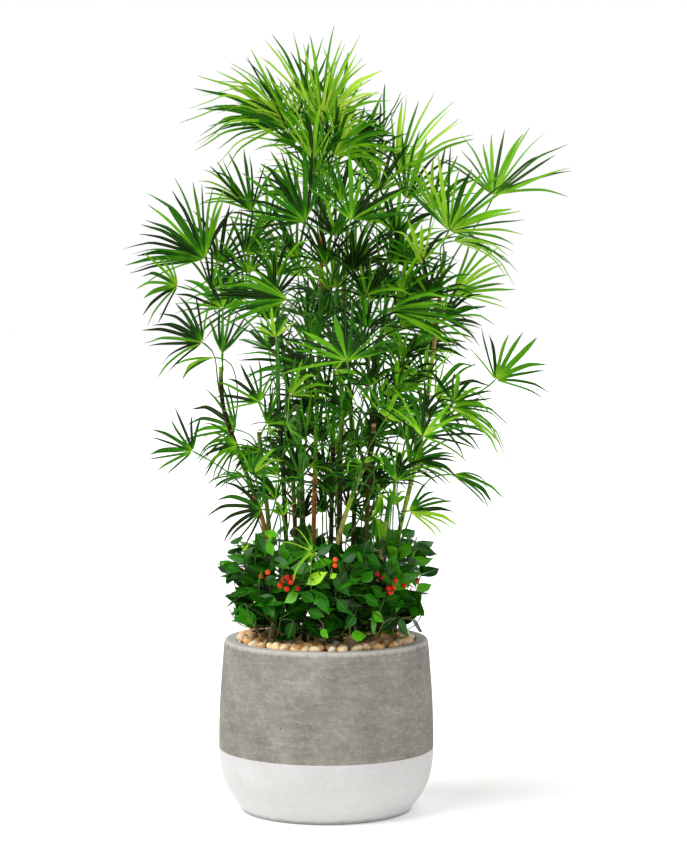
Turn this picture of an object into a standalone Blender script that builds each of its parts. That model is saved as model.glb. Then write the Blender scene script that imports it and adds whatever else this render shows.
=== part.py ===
# Potted lady palm: a two-tone concrete pot with soil, a pebble mulch, thirteen
# palm canes with their fan leaves, and a skirt of small berry shrubs.
# Metres, +Z up. The origin is the centre of the pot's underside, and the side
# that the photograph shows faces -Y.

import math
import random

import bpy
from mathutils import Matrix, Vector
from mathutils.bvhtree import BVHTree

# Pot
POT_HEIGHT = 0.350
POT_BELLY_RADIUS = 0.2190
POT_BELLY_HEIGHT = 0.150
POT_RIM_RADIUS = 0.2072
POT_FOOT_RADIUS = 0.168
UPPER_CURVE = 1.6
LOWER_CURVE = 3.0
POT_WALL = 0.025
POT_FLOOR = 0.030
RIM_ROUNDING = 0.006
FOOT_ROUNDING = 0.007
DRAIN_RADIUS = 0.009
DRAIN_CIRCLE = 0.060
DRAIN_HOLES = 3
DRAIN_SIDES = 12
POT_SEGMENTS = 44

# Fill
SOIL_TOP = 0.320
MULCH_TOP = 0.337
SOCKET_DEPTH = 0.040

# Gap between pieces that touch, and the extra room that a leaf's place is tried with
GAP = 0.0003
ROOM = 0.0008

UP = Vector((0, 0, 1))
VIEWER = Vector((0, -1, 0))

# Canes
CANE_RADIUS_LOW = 0.0058
CANE_RADIUS_TOP = 0.0046
CANE_TALLEST = 1.3
CANE_STRAIGHT = 0.012
CANE_SIDES = 8
CANE_RINGS = 6

# Palm leaves. The petiole's pulls are parts of its reach, and they shape its curve
PETIOLE_WIDTH = 0.0040
PETIOLE_STUB = 0.005
PETIOLE_STEPS = 4
PETIOLE_LEAN = 0.6
PETIOLE_LOW_PULL = 0.4
PETIOLE_TOP_PULL = 0.35
PALM_RADIUS = 0.032
PALM_NOTCH = 0.94
FAN_CUP = 0.08
LEAFLET_WIDTH = 0.0085
LEAFLET_CROWDED = 1.76
LEAFLET_THICKNESS = 0.0012
OUTER_SHORTER = 0.9
MIDDLE_DROOP = 0.35
TIP_DROOP = 1.3
SEAT_OFFSET = 0.00045

# Berry shrubs. The outline gives a leaf's width and sag at parts of its length
SHRUB_STEM = 0.0050
SHRUB_STRAIGHT = 0.008
SHRUB_LEAF_WIDTH = 0.027
SHRUB_LEAF_THICKNESS = 0.0016
SHRUB_LEAF_STALK = 0.012
SHRUB_OUTLINE = ((0.22, 0.10, 0.0), (0.55, 1.0, -0.002), (0.80, 0.72, -0.008))
SHRUB_TIP_SAG = -0.016
PLUG_SIDES = 8

# Canes, in millimetres: the foot's x and y at the mulch, then points higher up
CANES = [
    [(-97, -38), (-122, -45, 570), (-170, -50, 717), (-205, -52, 820), (-211, -50, 905)],
    [(106, 12), (150, 18, 572), (193, 20, 755), (221, 22, 966), (240, 20, 1135)],
    [(4, -66), (20, -66, 535), (61, -58, 670), (90, -48, 730), (96, -45, 790)],
    [(-30, 22), (-26, 24, 568), (-20, 28, 792), (-10, 30, 1100), (-12, 30, 1290)],
    [(-58, 66), (-66, 80, 600), (-80, 100, 850), (-115, 120, 1090)],
    [(-76, -8), (-82, -14, 568), (-88, -18, 700), (-96, -20, 830), (-98, -20, 955)],
    [(8, 52), (10, 54, 568), (14, 58, 751), (18, 60, 890)],
    [(30, -12), (28, -12, 568), (30, -10, 790), (36, -10, 1035), (43, -10, 1185)],
    [(44, 92), (57, 108, 600), (50, 140, 800), (40, 170, 1000)],
    [(76, 44), (82, 50, 568), (98, 56, 850), (130, 62, 1080)],
    [(92, -52), (116, -64, 560), (128, -78, 640)],
    [(-44, -62), (-46, -66, 600), (-52, -70, 751), (-56, -75, 830)],
    [(-100, 48), (-118, 84, 560), (-140, 126, 760)],
]

# Palm leaves, in millimetres and degrees. cane: number of the cane it grows on.
# seat: height of its base on the cane. x, y, z: its hub. aim: direction of its
# middle seen from the front, 0 right and 90 up. dip: how far that leans to the
# viewer. turn: how far the blade is rolled about it. spread and count: the fan's
# angle and its leaflets. droop: how strongly the leaflets bend down.
LEAF_FIELDS = (
    "cane", "seat", "x", "y", "z", "aim", "dip", "turn", "spread", "count", "length", "droop",
)
LEAVES = [
    (4, 1270, -74, -45, 1384, 155, 15, 15, 84, 11, 226, 0.45),
    (4, 1285, -41, 45, 1437, 92, -25, 25, 105, 8, 158, 0.15),
    (4, 1245, -8, -60, 1396, 55, 25, -15, 62, 8, 200, 0.20),
    (8, 1165, 113, 120, 1373, 110, -50, 150, 130, 7, 140, 0.10),
    (5, 1060, -242, -55, 1120, 130, 18, 0, 128, 15, 182, 0.25),
    (6, 930, -292, -120, 1068, 165, 45, 10, 130, 8, 125, 0.35),
    (4, 1140, -40, -110, 1195, 125, 30, 10, 120, 12, 192, 0.10),
    (8, 1140, 50, -150, 1198, 72, 40, 0, 130, 10, 185, 0.12),
    (4, 1220, 141, 60, 1287, 58, -20, -20, 72, 8, 212, 0.15),
    (2, 1120, 244, -80, 1176, 60, 25, 0, 147, 13, 188, 0.15),
    (2, 1095, 343, 110, 1248, 70, -25, 160, 130, 11, 205, 0.20),
    (2, 1070, 253, -110, 1157, 0, 35, 65, 100, 6, 170, 0.60),
    (1, 880, -204, -120, 1024, 92, 35, 0, 190, 12, 120, 0.20),
    (1, 855, -243, -130, 957, 150, 25, 0, 135, 11, 135, 0.30),
    (1, 895, -209, -40, 930, 80, -10, 20, 75, 6, 110, 0.10),
    (1, 650, -265, -90, 738, 150, 15, 0, 150, 9, 102, 0.15),
    (6, 790, -130, -120, 838, 125, 30, 0, 130, 9, 120, 0.20),
    (7, 865, -29, 10, 901, 165, -25, 30, 75, 8, 165, 0.35),
    (8, 840, 42, -235, 926, 100, 35, 0, 175, 14, 162, 0.15),
    (4, 980, -74, -100, 1042, 168, 20, -15, 75, 11, 175, 0.20),
    (2, 1020, 257, 60, 1049, 28, -20, 0, 90, 9, 148, 0.15),
    (8, 960, 125, -110, 1019, 2, 25, 20, 62, 9, 205, 0.25),
    (2, 800, 339, -60, 879, 55, 15, 0, 150, 9, 126, 0.20),
    (2, 775, 253, -110, 837, 62, 45, 0, 115, 8, 118, 0.10),
    (2, 750, 247, -160, 830, -5, 35, 40, 70, 7, 175, 0.70),
    (2, 725, 189, -190, 775, 62, 35, 0, 160, 11, 145, 0.20),
    (1, 715, -174, -120, 754, 188, 40, 0, 100, 8, 135, 0.80),
    (6, 590, -126, -150, 628, 165, 30, 0, 170, 10, 125, 0.30),
    (3, 500, -26, -190, 549, 210, 20, 0, 250, 12, 78, 0.30),
    (2, 590, 165, -75, 617, 12, 30, 10, 95, 8, 122, 0.40),
    (5, 1035, -170, 205, 1030, 150, -35, 0, 150, 10, 165, 0.35),
    (10, 1050, 150, 220, 1120, 55, -40, 0, 150, 10, 165, 0.30),
    (4, 1190, -20, 165, 1280, 100, -45, 0, 130, 10, 165, 0.25),
    (9, 960, 30, 265, 1000, 95, -55, 0, 150, 10, 165, 0.40),
    (10, 880, 225, 190, 830, 20, -30, 0, 140, 9, 150, 0.45),
    (13, 730, -190, 200, 760, 165, -35, 0, 150, 9, 150, 0.45),
]

# Small moves that a leaf is tried with until it is clear of the pieces before it:
# hub to the back or front in millimetres, roll in degrees
HUB_SHIFTS = (0, 12, -12, 24, -24, 36, -36, 50, -50, 65, -65)
BLADE_ROLLS = (0, 8, -8, 16, -16, 24, -24)

# Shrubs: angle round the pot in degrees (270 is the front), distance of the foot
# from the centre, height of the top and its distance from the centre, in millimetres
SHRUBS = [
    (268, 122, 490, 176),
    (305, 132, 520, 182),
    (350, 140, 560, 186),
    (35, 138, 540, 180),
    (80, 142, 530, 178),
    (125, 136, 550, 180),
    (172, 142, 545, 184),
    (218, 130, 520, 180),
]
SHRUB_LEAVES = 8
SHRUB_TWIST = 28
SHRUB_SEED = 5
SHRUB_SWINGS = (0, 10, -10, 20, -20, 30, -30, 40, -40)
SHRUB_SINKS = (0, 12, 24, 36, 48)


def clear_scene():
    for old in list(bpy.data.objects):
        bpy.data.objects.remove(old, do_unlink=True)


def make_material(name, color, roughness):
    material = bpy.data.materials.new(name)
    material.use_nodes = True
    shader = material.node_tree.nodes["Principled BSDF"]
    shader.inputs["Base Color"].default_value = (*color, 1.0)
    shader.inputs["Roughness"].default_value = roughness
    shader.inputs["Metallic"].default_value = 0.0
    return material


def add_object(name, points, faces, material, smooth=False):
    mesh = bpy.data.meshes.new(name)
    mesh.from_pydata([tuple(p) for p in points], [], faces)
    mesh.materials.append(material)
    mesh.validate()
    if smooth:
        mesh.shade_smooth()
        mesh.set_sharp_from_angle(angle=math.radians(40))
    item = bpy.data.objects.new(name, mesh)
    bpy.context.collection.objects.link(item)
    return item


def carve(item, points, faces):
    """Cuts a closed shape out of an object, and keeps the result as its mesh."""
    mesh = bpy.data.meshes.new("cutter")
    mesh.from_pydata([tuple(p) for p in points], [], faces)
    cutter = bpy.data.objects.new("cutter", mesh)
    cutter.hide_render = True
    cutter.display_type = "WIRE"
    bpy.context.collection.objects.link(cutter)
    cut = item.modifiers.new("Cut", "BOOLEAN")
    cut.operation = "DIFFERENCE"
    cut.solver = "EXACT"
    cut.object = cutter
    depsgraph = bpy.context.evaluated_depsgraph_get()
    result = bpy.data.meshes.new_from_object(item.evaluated_get(depsgraph))
    item.modifiers.clear()
    item.data = result
    bpy.data.objects.remove(cutter, do_unlink=True)


# Turned shapes


def turned(profile, segments):
    """Points and faces of a closed turned body. The profile runs from the centre
    of the underside, out and up, and back to the axis."""
    points, rings = [], []
    for radius, z in profile:
        if radius == 0:
            rings.append([len(points)])
            points.append(Vector((0, 0, z)))
            continue
        rings.append([len(points) + k for k in range(segments)])
        for k in range(segments):
            angle = 2 * math.pi * k / segments
            points.append(Vector((radius * math.cos(angle), radius * math.sin(angle), z)))
    faces = []
    for low, high in zip(rings, rings[1:]):
        for k in range(segments):
            n = (k + 1) % segments
            if len(low) == 1:
                faces.append((low[0], high[n], high[k]))
            elif len(high) == 1:
                faces.append((low[k], low[n], high[0]))
            else:
                faces.append((low[k], low[n], high[n], high[k]))
    return points, faces


def pot_radius(z):
    """Outer radius of the pot at a height: a belly, narrower at rim and foot."""
    if z >= POT_BELLY_HEIGHT:
        t = (z - POT_BELLY_HEIGHT) / (POT_HEIGHT - POT_BELLY_HEIGHT)
        return POT_BELLY_RADIUS - (POT_BELLY_RADIUS - POT_RIM_RADIUS) * t**UPPER_CURVE
    t = (POT_BELLY_HEIGHT - z) / POT_BELLY_HEIGHT
    return POT_BELLY_RADIUS - (POT_BELLY_RADIUS - POT_FOOT_RADIUS) * t**LOWER_CURVE


def inner_heights():
    """Heights of the rings that the pot's inside shares with its fill."""
    lower = [POT_FLOOR + (SOIL_TOP - POT_FLOOR) * k / 6 for k in range(7)]
    return lower + [MULCH_TOP]


def pot_profile():
    """Half section of the pot: underside, foot, side, lip, inside wall and floor."""
    corner = pot_radius(FOOT_ROUNDING) - FOOT_ROUNDING
    foot = [
        (corner + FOOT_ROUNDING * math.sin(a), FOOT_ROUNDING * (1 - math.cos(a)))
        for a in (0, math.radians(30), math.radians(60))
    ]
    heights = [FOOT_ROUNDING, 0.025, 0.045, 0.070, 0.100, 0.150, 0.200, 0.250, 0.300]
    side = [(pot_radius(z), z) for z in heights + [POT_HEIGHT - RIM_ROUNDING]]
    mouth = POT_RIM_RADIUS - POT_WALL
    shoulder = POT_RIM_RADIUS - RIM_ROUNDING
    arris = [
        (shoulder + RIM_ROUNDING * math.cos(a), POT_HEIGHT - RIM_ROUNDING * (1 - math.sin(a)))
        for a in (math.radians(45), math.radians(90))
    ]
    lip = [
        (mouth + RIM_ROUNDING / 2, POT_HEIGHT),
        (mouth, POT_HEIGHT - RIM_ROUNDING / 2),
    ]
    inside = [(pot_radius(z) - POT_WALL, z) for z in reversed(inner_heights())]
    return [(0, 0)] + foot + side + arris + lip + inside + [(0, POT_FLOOR)]


def make_pot(material):
    pot = add_object("planter_pot", *turned(pot_profile(), POT_SEGMENTS), material, smooth=True)
    points, faces = [], []
    past = 0.01
    for k in range(DRAIN_HOLES):
        angle = math.radians(30 + 360 / DRAIN_HOLES * k)
        centre = Vector((DRAIN_CIRCLE * math.cos(angle), DRAIN_CIRCLE * math.sin(angle), 0))
        line = [centre - UP * past, centre + UP * (POT_FLOOR + past)]
        add_shape(points, faces, *tube(line, [DRAIN_RADIUS] * 2, DRAIN_SIDES))
    carve(pot, points, faces)


def fill_profile(bottom, top):
    """A layer of fill inside the pot, with a gap to the wall."""
    heights = [z for z in inner_heights() if bottom <= z <= top]
    heights = [bottom] + [z for z in heights if z > bottom + 0.001]
    side = [(pot_radius(z) - POT_WALL - GAP, z) for z in heights]
    return [(0, bottom)] + side + [(0, top)]


def make_fill(soil_material, pebble_material, sockets):
    """The soil and the pebble layer on it, both with sockets for what grows there."""
    soil_shape = turned(fill_profile(POT_FLOOR + GAP, SOIL_TOP), POT_SEGMENTS)
    mulch_shape = turned(fill_profile(SOIL_TOP + GAP, MULCH_TOP), POT_SEGMENTS)
    carve(add_object("potting_soil", *soil_shape, soil_material), *sockets)
    carve(add_object("pebble_mulch", *mulch_shape, pebble_material), *sockets)


# Tubes and plates


def add_shape(points, faces, more_points, more_faces):
    start = len(points)
    points.extend(more_points)
    faces.extend(tuple(i + start for i in face) for face in more_faces)


def tube(line, radii, sides):
    """A closed tube along points that climb, with flat ends."""
    points, faces = [], []
    for k, centre in enumerate(line):
        before, after = line[max(k - 1, 0)], line[min(k + 1, len(line) - 1)]
        along = (after - before).normalized()
        across = along.cross(Vector((0, 1, 0))).normalized()
        other = along.cross(across)
        for s in range(sides):
            angle = 2 * math.pi * s / sides
            points.append(centre + (across * math.cos(angle) + other * math.sin(angle)) * radii[k])
    for k in range(len(line) - 1):
        for s in range(sides):
            n = (s + 1) % sides
            faces.append((k * sides + s, k * sides + n, (k + 1) * sides + n, (k + 1) * sides + s))
    faces.append(tuple(reversed(range(sides))))
    faces.append(tuple((len(line) - 1) * sides + s for s in range(sides)))
    return points, faces


def face_normal(points, face):
    a, b, c = (points[i] for i in face[:3])
    return (b - a).cross(c - a).normalized()


def thicken(points, faces, half, extra=0.0):
    """A closed plate round a surface. half is half its thickness at each point."""
    normals = [Vector() for point in points]
    for face in faces:
        normal = face_normal(points, face)
        for i in face:
            normals[i] += normal
    count = len(points)
    offsets = [normals[i].normalized() * (half[i] + extra) for i in range(count)]
    solid = [point + offset for point, offset in zip(points, offsets)]
    solid += [point - offset for point, offset in zip(points, offsets)]
    shell = list(faces) + [tuple(i + count for i in reversed(face)) for face in faces]
    edges = {}
    for face in faces:
        for a, b in zip(face, face[1:] + face[:1]):
            edges[(a, b)] = True
    for a, b in edges:
        if (b, a) not in edges:
            shell.append((b, a, a + count, b + count))
    return solid, shell


def smooth_line(points, steps):
    """A Catmull-Rom line through points, with the given number of steps in all."""
    line = []
    spans = len(points) - 1
    for k in range(steps + 1):
        place = spans * k / steps
        i = min(int(place), spans - 1)
        t = place - i
        p0, p1 = points[max(i - 1, 0)], points[i]
        p2, p3 = points[i + 1], points[min(i + 2, spans)]
        line.append(
            0.5
            * (
                2 * p1
                + (p2 - p0) * t
                + (2 * p0 - 5 * p1 + 4 * p2 - p3) * t**2
                + (3 * p1 - p0 - 3 * p2 + p3) * t**3
            )
        )
    return line


# Canes


def millimetres(*values):
    return Vector([v / 1000 for v in values])


def cane_line(cane):
    """The cane's centre line: upright in its socket, then through its points."""
    x, y = cane[0]
    foot = millimetres(x, y, 0)
    socket = foot + UP * (SOIL_TOP - SOCKET_DEPTH)
    mulch = foot + UP * (MULCH_TOP + CANE_STRAIGHT)
    return [socket] + smooth_line([mulch] + [millimetres(*p) for p in cane[1:]], CANE_RINGS)


def cane_radii(line):
    """The cane's radius at each point of its line, thinner with height."""
    low = line[0].z
    taper = (CANE_RADIUS_LOW - CANE_RADIUS_TOP) / CANE_TALLEST
    return [CANE_RADIUS_LOW - taper * (point.z - low) for point in line]


def cane_spot(line, radii, height):
    """Centre, radius and direction of a cane at a height."""
    for k in range(len(line) - 1):
        if line[k].z <= height <= line[k + 1].z:
            t = (height - line[k].z) / (line[k + 1].z - line[k].z)
            along = (line[k + 1] - line[k]).normalized()
            return line[k].lerp(line[k + 1], t), radii[k], along
    raise ValueError("no cane at that height")


def make_canes(material):
    canes = []
    for number, cane in enumerate(CANES, 1):
        line = cane_line(cane)
        radii = cane_radii(line)
        shape = tube(line, radii, CANE_SIDES)
        add_object(f"palm_cane_{number:02d}", *shape, material, smooth=True)
        canes.append({"line": line, "radii": radii, "shape": shape})
    return canes


# Palm leaves


def blade_frame(leaf, roll):
    """The fan's axis, its side and the normal of its face."""
    aim, dip = math.radians(leaf["aim"]), math.radians(leaf["dip"])
    axis = Vector((math.cos(aim) * math.cos(dip), -math.sin(dip), math.sin(aim) * math.cos(dip)))
    normal = (VIEWER - axis * VIEWER.dot(axis)).normalized()
    normal = Matrix.Rotation(math.radians(leaf["turn"] + roll), 3, axis) @ normal
    return axis, normal.cross(axis), normal


def petiole_line(hub, axis, side, spot):
    """The petiole's centre line and side: square off the cane, then a curve to the hub."""
    centre, radius, along = spot
    reach = hub - centre
    out = (reach - along * reach.dot(along)).normalized()
    seat = centre + out * (radius + SEAT_OFFSET)
    stub = seat + out * PETIOLE_STUB
    length = (hub - stub).length
    rise = (out * PETIOLE_LEAN + UP).normalized()
    low, top = stub + rise * length * PETIOLE_LOW_PULL, hub - axis * length * PETIOLE_TOP_PULL
    flat = along.cross(out)
    if flat.dot(side) < 0:
        flat = -flat
    line, sides = [seat], [flat]
    for k in range(PETIOLE_STEPS + 1):
        t = k / PETIOLE_STEPS
        ends = stub * (1 - t) ** 3 + hub * t**3
        line.append(ends + (low * (1 - t) + top * t) * 3 * t * (1 - t))
        sides.append(flat.lerp(side, t).normalized())
    return line, sides


def fan_direction(blade, angle):
    """Direction from the hub at an angle from the fan's axis, in a fan that is cupped a little."""
    axis, side, normal = blade
    return (axis * math.cos(angle) + side * math.sin(angle) + normal * FAN_CUP).normalized()


def leaf_skeleton(leaf, number, cane, shift, roll):
    """Centre line and side of the petiole, and the centre line of each leaflet."""
    blade = blade_frame(leaf, roll)
    axis, side, normal = blade
    hub = millimetres(leaf["x"], leaf["y"] + shift, leaf["z"])
    spot = cane_spot(cane["line"], cane["radii"], leaf["seat"] / 1000)
    petiole, sides = petiole_line(hub, axis, side, spot)
    draw = random.Random(number)
    leaflets = []
    count = leaf["count"]
    for i in range(count):
        part = (i + 0.5) / count - 0.5
        direction = fan_direction(blade, math.radians(leaf["spread"]) * part)
        length = leaf["length"] / 1000 * (1 - OUTER_SHORTER * part**2) * draw.uniform(0.9, 1.05)
        droop = leaf["droop"] * draw.uniform(0.7, 1.4)
        leaflets.append(leaflet_line(hub, direction, length, droop))
    return {"petiole": petiole, "sides": sides, "leaflets": leaflets, "blade": blade}


def leaflet_line(hub, direction, length, droop):
    """Root, middle and tip of a leaflet that bends down more and more."""
    root = hub + direction * PALM_RADIUS
    half = (length - PALM_RADIUS) / 2
    middle = root + (direction - UP * droop * MIDDLE_DROOP).normalized() * half
    tip = middle + (direction - UP * droop * TIP_DROOP).normalized() * half
    return [root, middle, tip]


class Surface:
    """Points and faces of a thin piece, with half the thickness at each point."""

    def __init__(self):
        self.points, self.faces, self.half = [], [], []

    def put(self, point, thickness):
        self.points.append(point)
        self.half.append(thickness / 2)
        return len(self.points) - 1

    def strip(self, line, sides, width):
        """A strip along a line, as thick as it is wide. Returns its pairs of points."""
        pairs = []
        for centre, side in zip(line, sides):
            reach = side * width / 2
            pairs.append((self.put(centre - reach, width), self.put(centre + reach, width)))
        for (a, b), (c, d) in zip(pairs, pairs[1:]):
            self.faces.append((a, b, d, c))
        return pairs

    def solid(self, extra=0.0):
        return thicken(self.points, self.faces, self.half, extra)


def leaf_surface(bones, leaf):
    """The leaf as one surface: petiole strip, fused palm, and a strip per leaflet."""
    surface = Surface()
    put, faces = surface.put, surface.faces
    hub_left, hub_right = surface.strip(bones["petiole"], bones["sides"], PETIOLE_WIDTH)[-1]
    hub = bones["petiole"][-1]
    count = leaf["count"]
    step = math.radians(leaf["spread"]) / count
    notches = []
    for i in range(count + 1):
        direction = fan_direction(bones["blade"], step * (i - count / 2))
        notches.append(put(hub + direction * PALM_RADIUS * PALM_NOTCH, LEAFLET_THICKNESS))
    for i in range(count):
        a, b = notches[i], notches[i + 1]
        if 2 * i + 1 < count:
            faces.append((hub_left, b, a))
        elif 2 * i + 1 > count:
            faces.append((hub_right, b, a))
        else:
            faces.append((hub_left, hub_right, b, a))
        if 2 * i + 2 == count:
            faces.append((hub_left, hub_right, b))
    normal = bones["blade"][2]
    wide = min(LEAFLET_WIDTH, LEAFLET_CROWDED * step * PALM_RADIUS)
    for i, (root, middle, tip) in enumerate(bones["leaflets"]):
        across = normal.cross(tip - root).normalized()
        a = put(middle - across * wide / 2, LEAFLET_THICKNESS)
        b = put(middle + across * wide / 2, LEAFLET_THICKNESS)
        point = put(tip, LEAFLET_THICKNESS)
        faces.append((notches[i], notches[i + 1], b, a))
        faces.append((a, b, point))
    return surface


def is_clear(shape, placed):
    trial = BVHTree.FromPolygons(*shape)
    return not any(trial.overlap(other) for other in placed)


def leaf_moves():
    """Every pair of hub shift and blade roll, the smallest moves first."""
    moves = [(shift, roll) for shift in HUB_SHIFTS for roll in BLADE_ROLLS]
    return sorted(moves, key=lambda m: (abs(m[0]) / HUB_SHIFTS[1] + abs(m[1]) / BLADE_ROLLS[1], m))


def place_leaf(leaf, number, cane, placed):
    """The leaf's surface, with the first small move that clears what is there."""
    for shift, roll in leaf_moves():
        surface = leaf_surface(leaf_skeleton(leaf, number, cane, shift, roll), leaf)
        if is_clear(surface.solid(ROOM), placed):
            return surface
    raise ValueError(f"no clear place for leaf {number}")


def make_leaves(material, canes, placed):
    for number, row in enumerate(LEAVES, 1):
        leaf = dict(zip(LEAF_FIELDS, row))
        shape = place_leaf(leaf, number, canes[leaf["cane"] - 1], placed).solid()
        add_object(f"palm_leaf_{number:02d}", *shape, material)
        placed.append(BVHTree.FromPolygons(*shape))


# Berry shrubs


def shrub_line(shrub):
    """The stem's centre line, upright in its socket and then leaning out."""
    degrees, foot, height, reach = shrub
    angle = math.radians(degrees)
    out = Vector((math.cos(angle), math.sin(angle), 0))
    base = out * foot / 1000
    top = out * reach / 1000 + UP * height / 1000
    socket = base + UP * (SOIL_TOP - SOCKET_DEPTH)
    mulch = base + UP * (MULCH_TOP + SHRUB_STRAIGHT)
    middle = base.lerp(top, 0.35)
    middle.z = 0.55 * top.z + 0.45 * MULCH_TOP
    return [socket] + smooth_line([mulch, middle, top], SHRUB_LEAVES), out


def shrub_surface(shrub, number, swing):
    """Stem strip with an oval leaf from its edge at each step, left and right in turn.
    swing turns the leaves round the stem."""
    line, out = shrub_line(shrub)
    draw = random.Random(SHRUB_SEED * 100 + number)
    surface = Surface()
    flat = UP.cross(out)
    turns = [0, 0] + [k * SHRUB_TWIST + swing for k in range(1, len(line) - 1)]
    sides = [Matrix.Rotation(math.radians(turn), 3, UP) @ flat for turn in turns]
    pairs = surface.strip(line, sides, SHRUB_STEM)
    for k in range(2, len(line) - 1):
        right = k % 2 == 0
        away = sides[k] if right else -sides[k]
        edge = (pairs[k][1], pairs[k + 1][1]) if right else (pairs[k + 1][0], pairs[k][0])
        start = (line[k] + line[k + 1]) / 2 + away * SHRUB_STEM / 2
        rise = (away + UP * draw.uniform(0.25, 0.6)).normalized()
        shrub_leaf(surface, edge, start, rise, draw.uniform(0.052, 0.064), right)
    return surface


def shrub_leaf(surface, edge, start, rise, length, right):
    """An oval leaf that grows from an upright edge of the stem and turns flat."""
    upright = -UP if right else UP
    across = upright.cross(rise).normalized()
    thick = SHRUB_LEAF_THICKNESS
    for k, (part, width, sag) in enumerate(SHRUB_OUTLINE):
        centre = start + rise * (SHRUB_LEAF_STALK + length * part) + UP * sag
        turn = (across + upright).normalized() if k == 0 else across
        reach = turn * SHRUB_LEAF_WIDTH * width / 2
        pair = (surface.put(centre + reach, thick), surface.put(centre - reach, thick))
        surface.faces.append((edge[0], pair[0], pair[1], edge[1]))
        edge = pair
    tip = surface.put(start + rise * (SHRUB_LEAF_STALK + length) + UP * SHRUB_TIP_SAG, thick)
    surface.faces.append((edge[0], tip, edge[1]))


def place_shrub(shrub, number, placed):
    """The shrub's surface, sunk and swung as little as clears what is there."""
    angle, foot, height, reach = shrub
    for sink in SHRUB_SINKS:
        for swing in SHRUB_SWINGS:
            surface = shrub_surface((angle, foot, height - sink, reach), number, swing)
            if is_clear(surface.solid(ROOM), placed):
                return surface
    raise ValueError(f"no clear place for shrub {number}")


def make_shrubs(material, placed):
    for number, shrub in enumerate(SHRUBS, 1):
        shape = place_shrub(shrub, number, placed).solid()
        add_object(f"berry_shrub_{number:02d}", *shape, material)
        placed.append(BVHTree.FromPolygons(*shape))


def socket_cutters(canes):
    """Slightly wide plugs where canes and shrubs stand in the mulch and the soil."""
    points, faces = [], []
    low, high = -UP * GAP, UP * (SOCKET_DEPTH + MULCH_TOP - SOIL_TOP + 0.005)
    for cane in canes:
        foot = cane["line"][0]
        plug = tube([foot + low, foot + high], [CANE_RADIUS_LOW + GAP] * 2, CANE_SIDES)
        add_shape(points, faces, *plug)
    stem_corner = SHRUB_STEM / math.sqrt(2) + GAP
    plug_radius = stem_corner / math.cos(math.pi / PLUG_SIDES)
    for shrub in SHRUBS:
        foot = shrub_line(shrub)[0][0]
        add_shape(points, faces, *tube([foot + low, foot + high], [plug_radius] * 2, PLUG_SIDES))
    return points, faces


def main():
    clear_scene()
    concrete = make_material("pot_concrete", (0.30, 0.28, 0.26), 0.75)
    soil = make_material("soil", (0.04, 0.03, 0.02), 0.95)
    pebble = make_material("pebble", (0.62, 0.46, 0.27), 0.60)
    cane_green = make_material("cane_bark", (0.12, 0.09, 0.03), 0.80)
    palm_green = make_material("palm_leaf", (0.04, 0.14, 0.01), 0.40)
    shrub_green = make_material("shrub_leaf", (0.02, 0.10, 0.01), 0.30)

    make_pot(concrete)
    canes = make_canes(cane_green)
    make_fill(soil, pebble, socket_cutters(canes))
    placed = [BVHTree.FromPolygons(*cane["shape"]) for cane in canes]
    placed.append(BVHTree.FromPolygons(*turned(pot_profile(), POT_SEGMENTS)))
    make_leaves(palm_green, canes, placed)
    make_shrubs(shrub_green, placed)


main()
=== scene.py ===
# Potted lady palm with a skirt of berry shrubs, in a round dip-painted concrete pot.
# Metres, +Z up, the photographed side faces -Y. The tables of canes, leaves and
# shrubs are the CAD part's own, and Geometry Nodes grow the plants along them.
from functools import partial
import math
import random

import bpy
from mathutils import Matrix, Vector, noise


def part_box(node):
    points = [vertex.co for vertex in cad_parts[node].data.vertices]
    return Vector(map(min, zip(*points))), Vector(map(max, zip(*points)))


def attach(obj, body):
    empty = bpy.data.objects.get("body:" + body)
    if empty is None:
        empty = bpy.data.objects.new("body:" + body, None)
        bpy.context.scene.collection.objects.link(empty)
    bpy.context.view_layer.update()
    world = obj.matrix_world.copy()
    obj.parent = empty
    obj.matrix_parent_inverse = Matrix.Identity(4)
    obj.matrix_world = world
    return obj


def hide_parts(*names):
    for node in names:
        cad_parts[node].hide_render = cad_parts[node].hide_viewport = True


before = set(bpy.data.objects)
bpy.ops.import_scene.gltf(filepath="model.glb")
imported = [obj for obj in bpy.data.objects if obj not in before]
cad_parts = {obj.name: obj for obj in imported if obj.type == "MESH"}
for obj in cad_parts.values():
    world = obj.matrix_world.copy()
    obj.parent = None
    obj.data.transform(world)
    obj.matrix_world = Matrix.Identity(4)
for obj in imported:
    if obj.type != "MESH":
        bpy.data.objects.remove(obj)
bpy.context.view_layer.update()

scene = bpy.context.scene
up = Vector((0, 0, 1))
viewer = Vector((0, -1, 0))
eye = Vector((0.035, -5.7, 1.2))  # where the photograph was taken from


def linear(code):  # sRGB hex to the linear colour that shaders take
    parts = [int(code[i : i + 2], 16) / 255 for i in (1, 3, 5)]
    return (*[c / 12.92 if c <= 0.04045 else ((c + 0.055) / 1.055) ** 2.4 for c in parts], 1.0)


def mm(*values):
    return Vector(values) / 1000


def square(way, axis):  # the part of a direction that stands square to an axis
    return (way - axis * way.dot(axis)).normalized()


def outwards(degrees):
    return Vector((math.cos(math.radians(degrees)), math.sin(math.radians(degrees)), 0))


def feed(node, values):  # a node stands for its first live output, "#rrggbb" for a colour
    for name, value in values.items() if isinstance(values, dict) else enumerate(values):
        if isinstance(value, bpy.types.Node):
            value = next(socket for socket in value.outputs if socket.enabled)
        if isinstance(value, bpy.types.NodeSocket):
            node.id_data.links.new(value, node.inputs[name])
        else:
            node.inputs[name].default_value = linear(value) if str(value).startswith("#") else value


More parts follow.
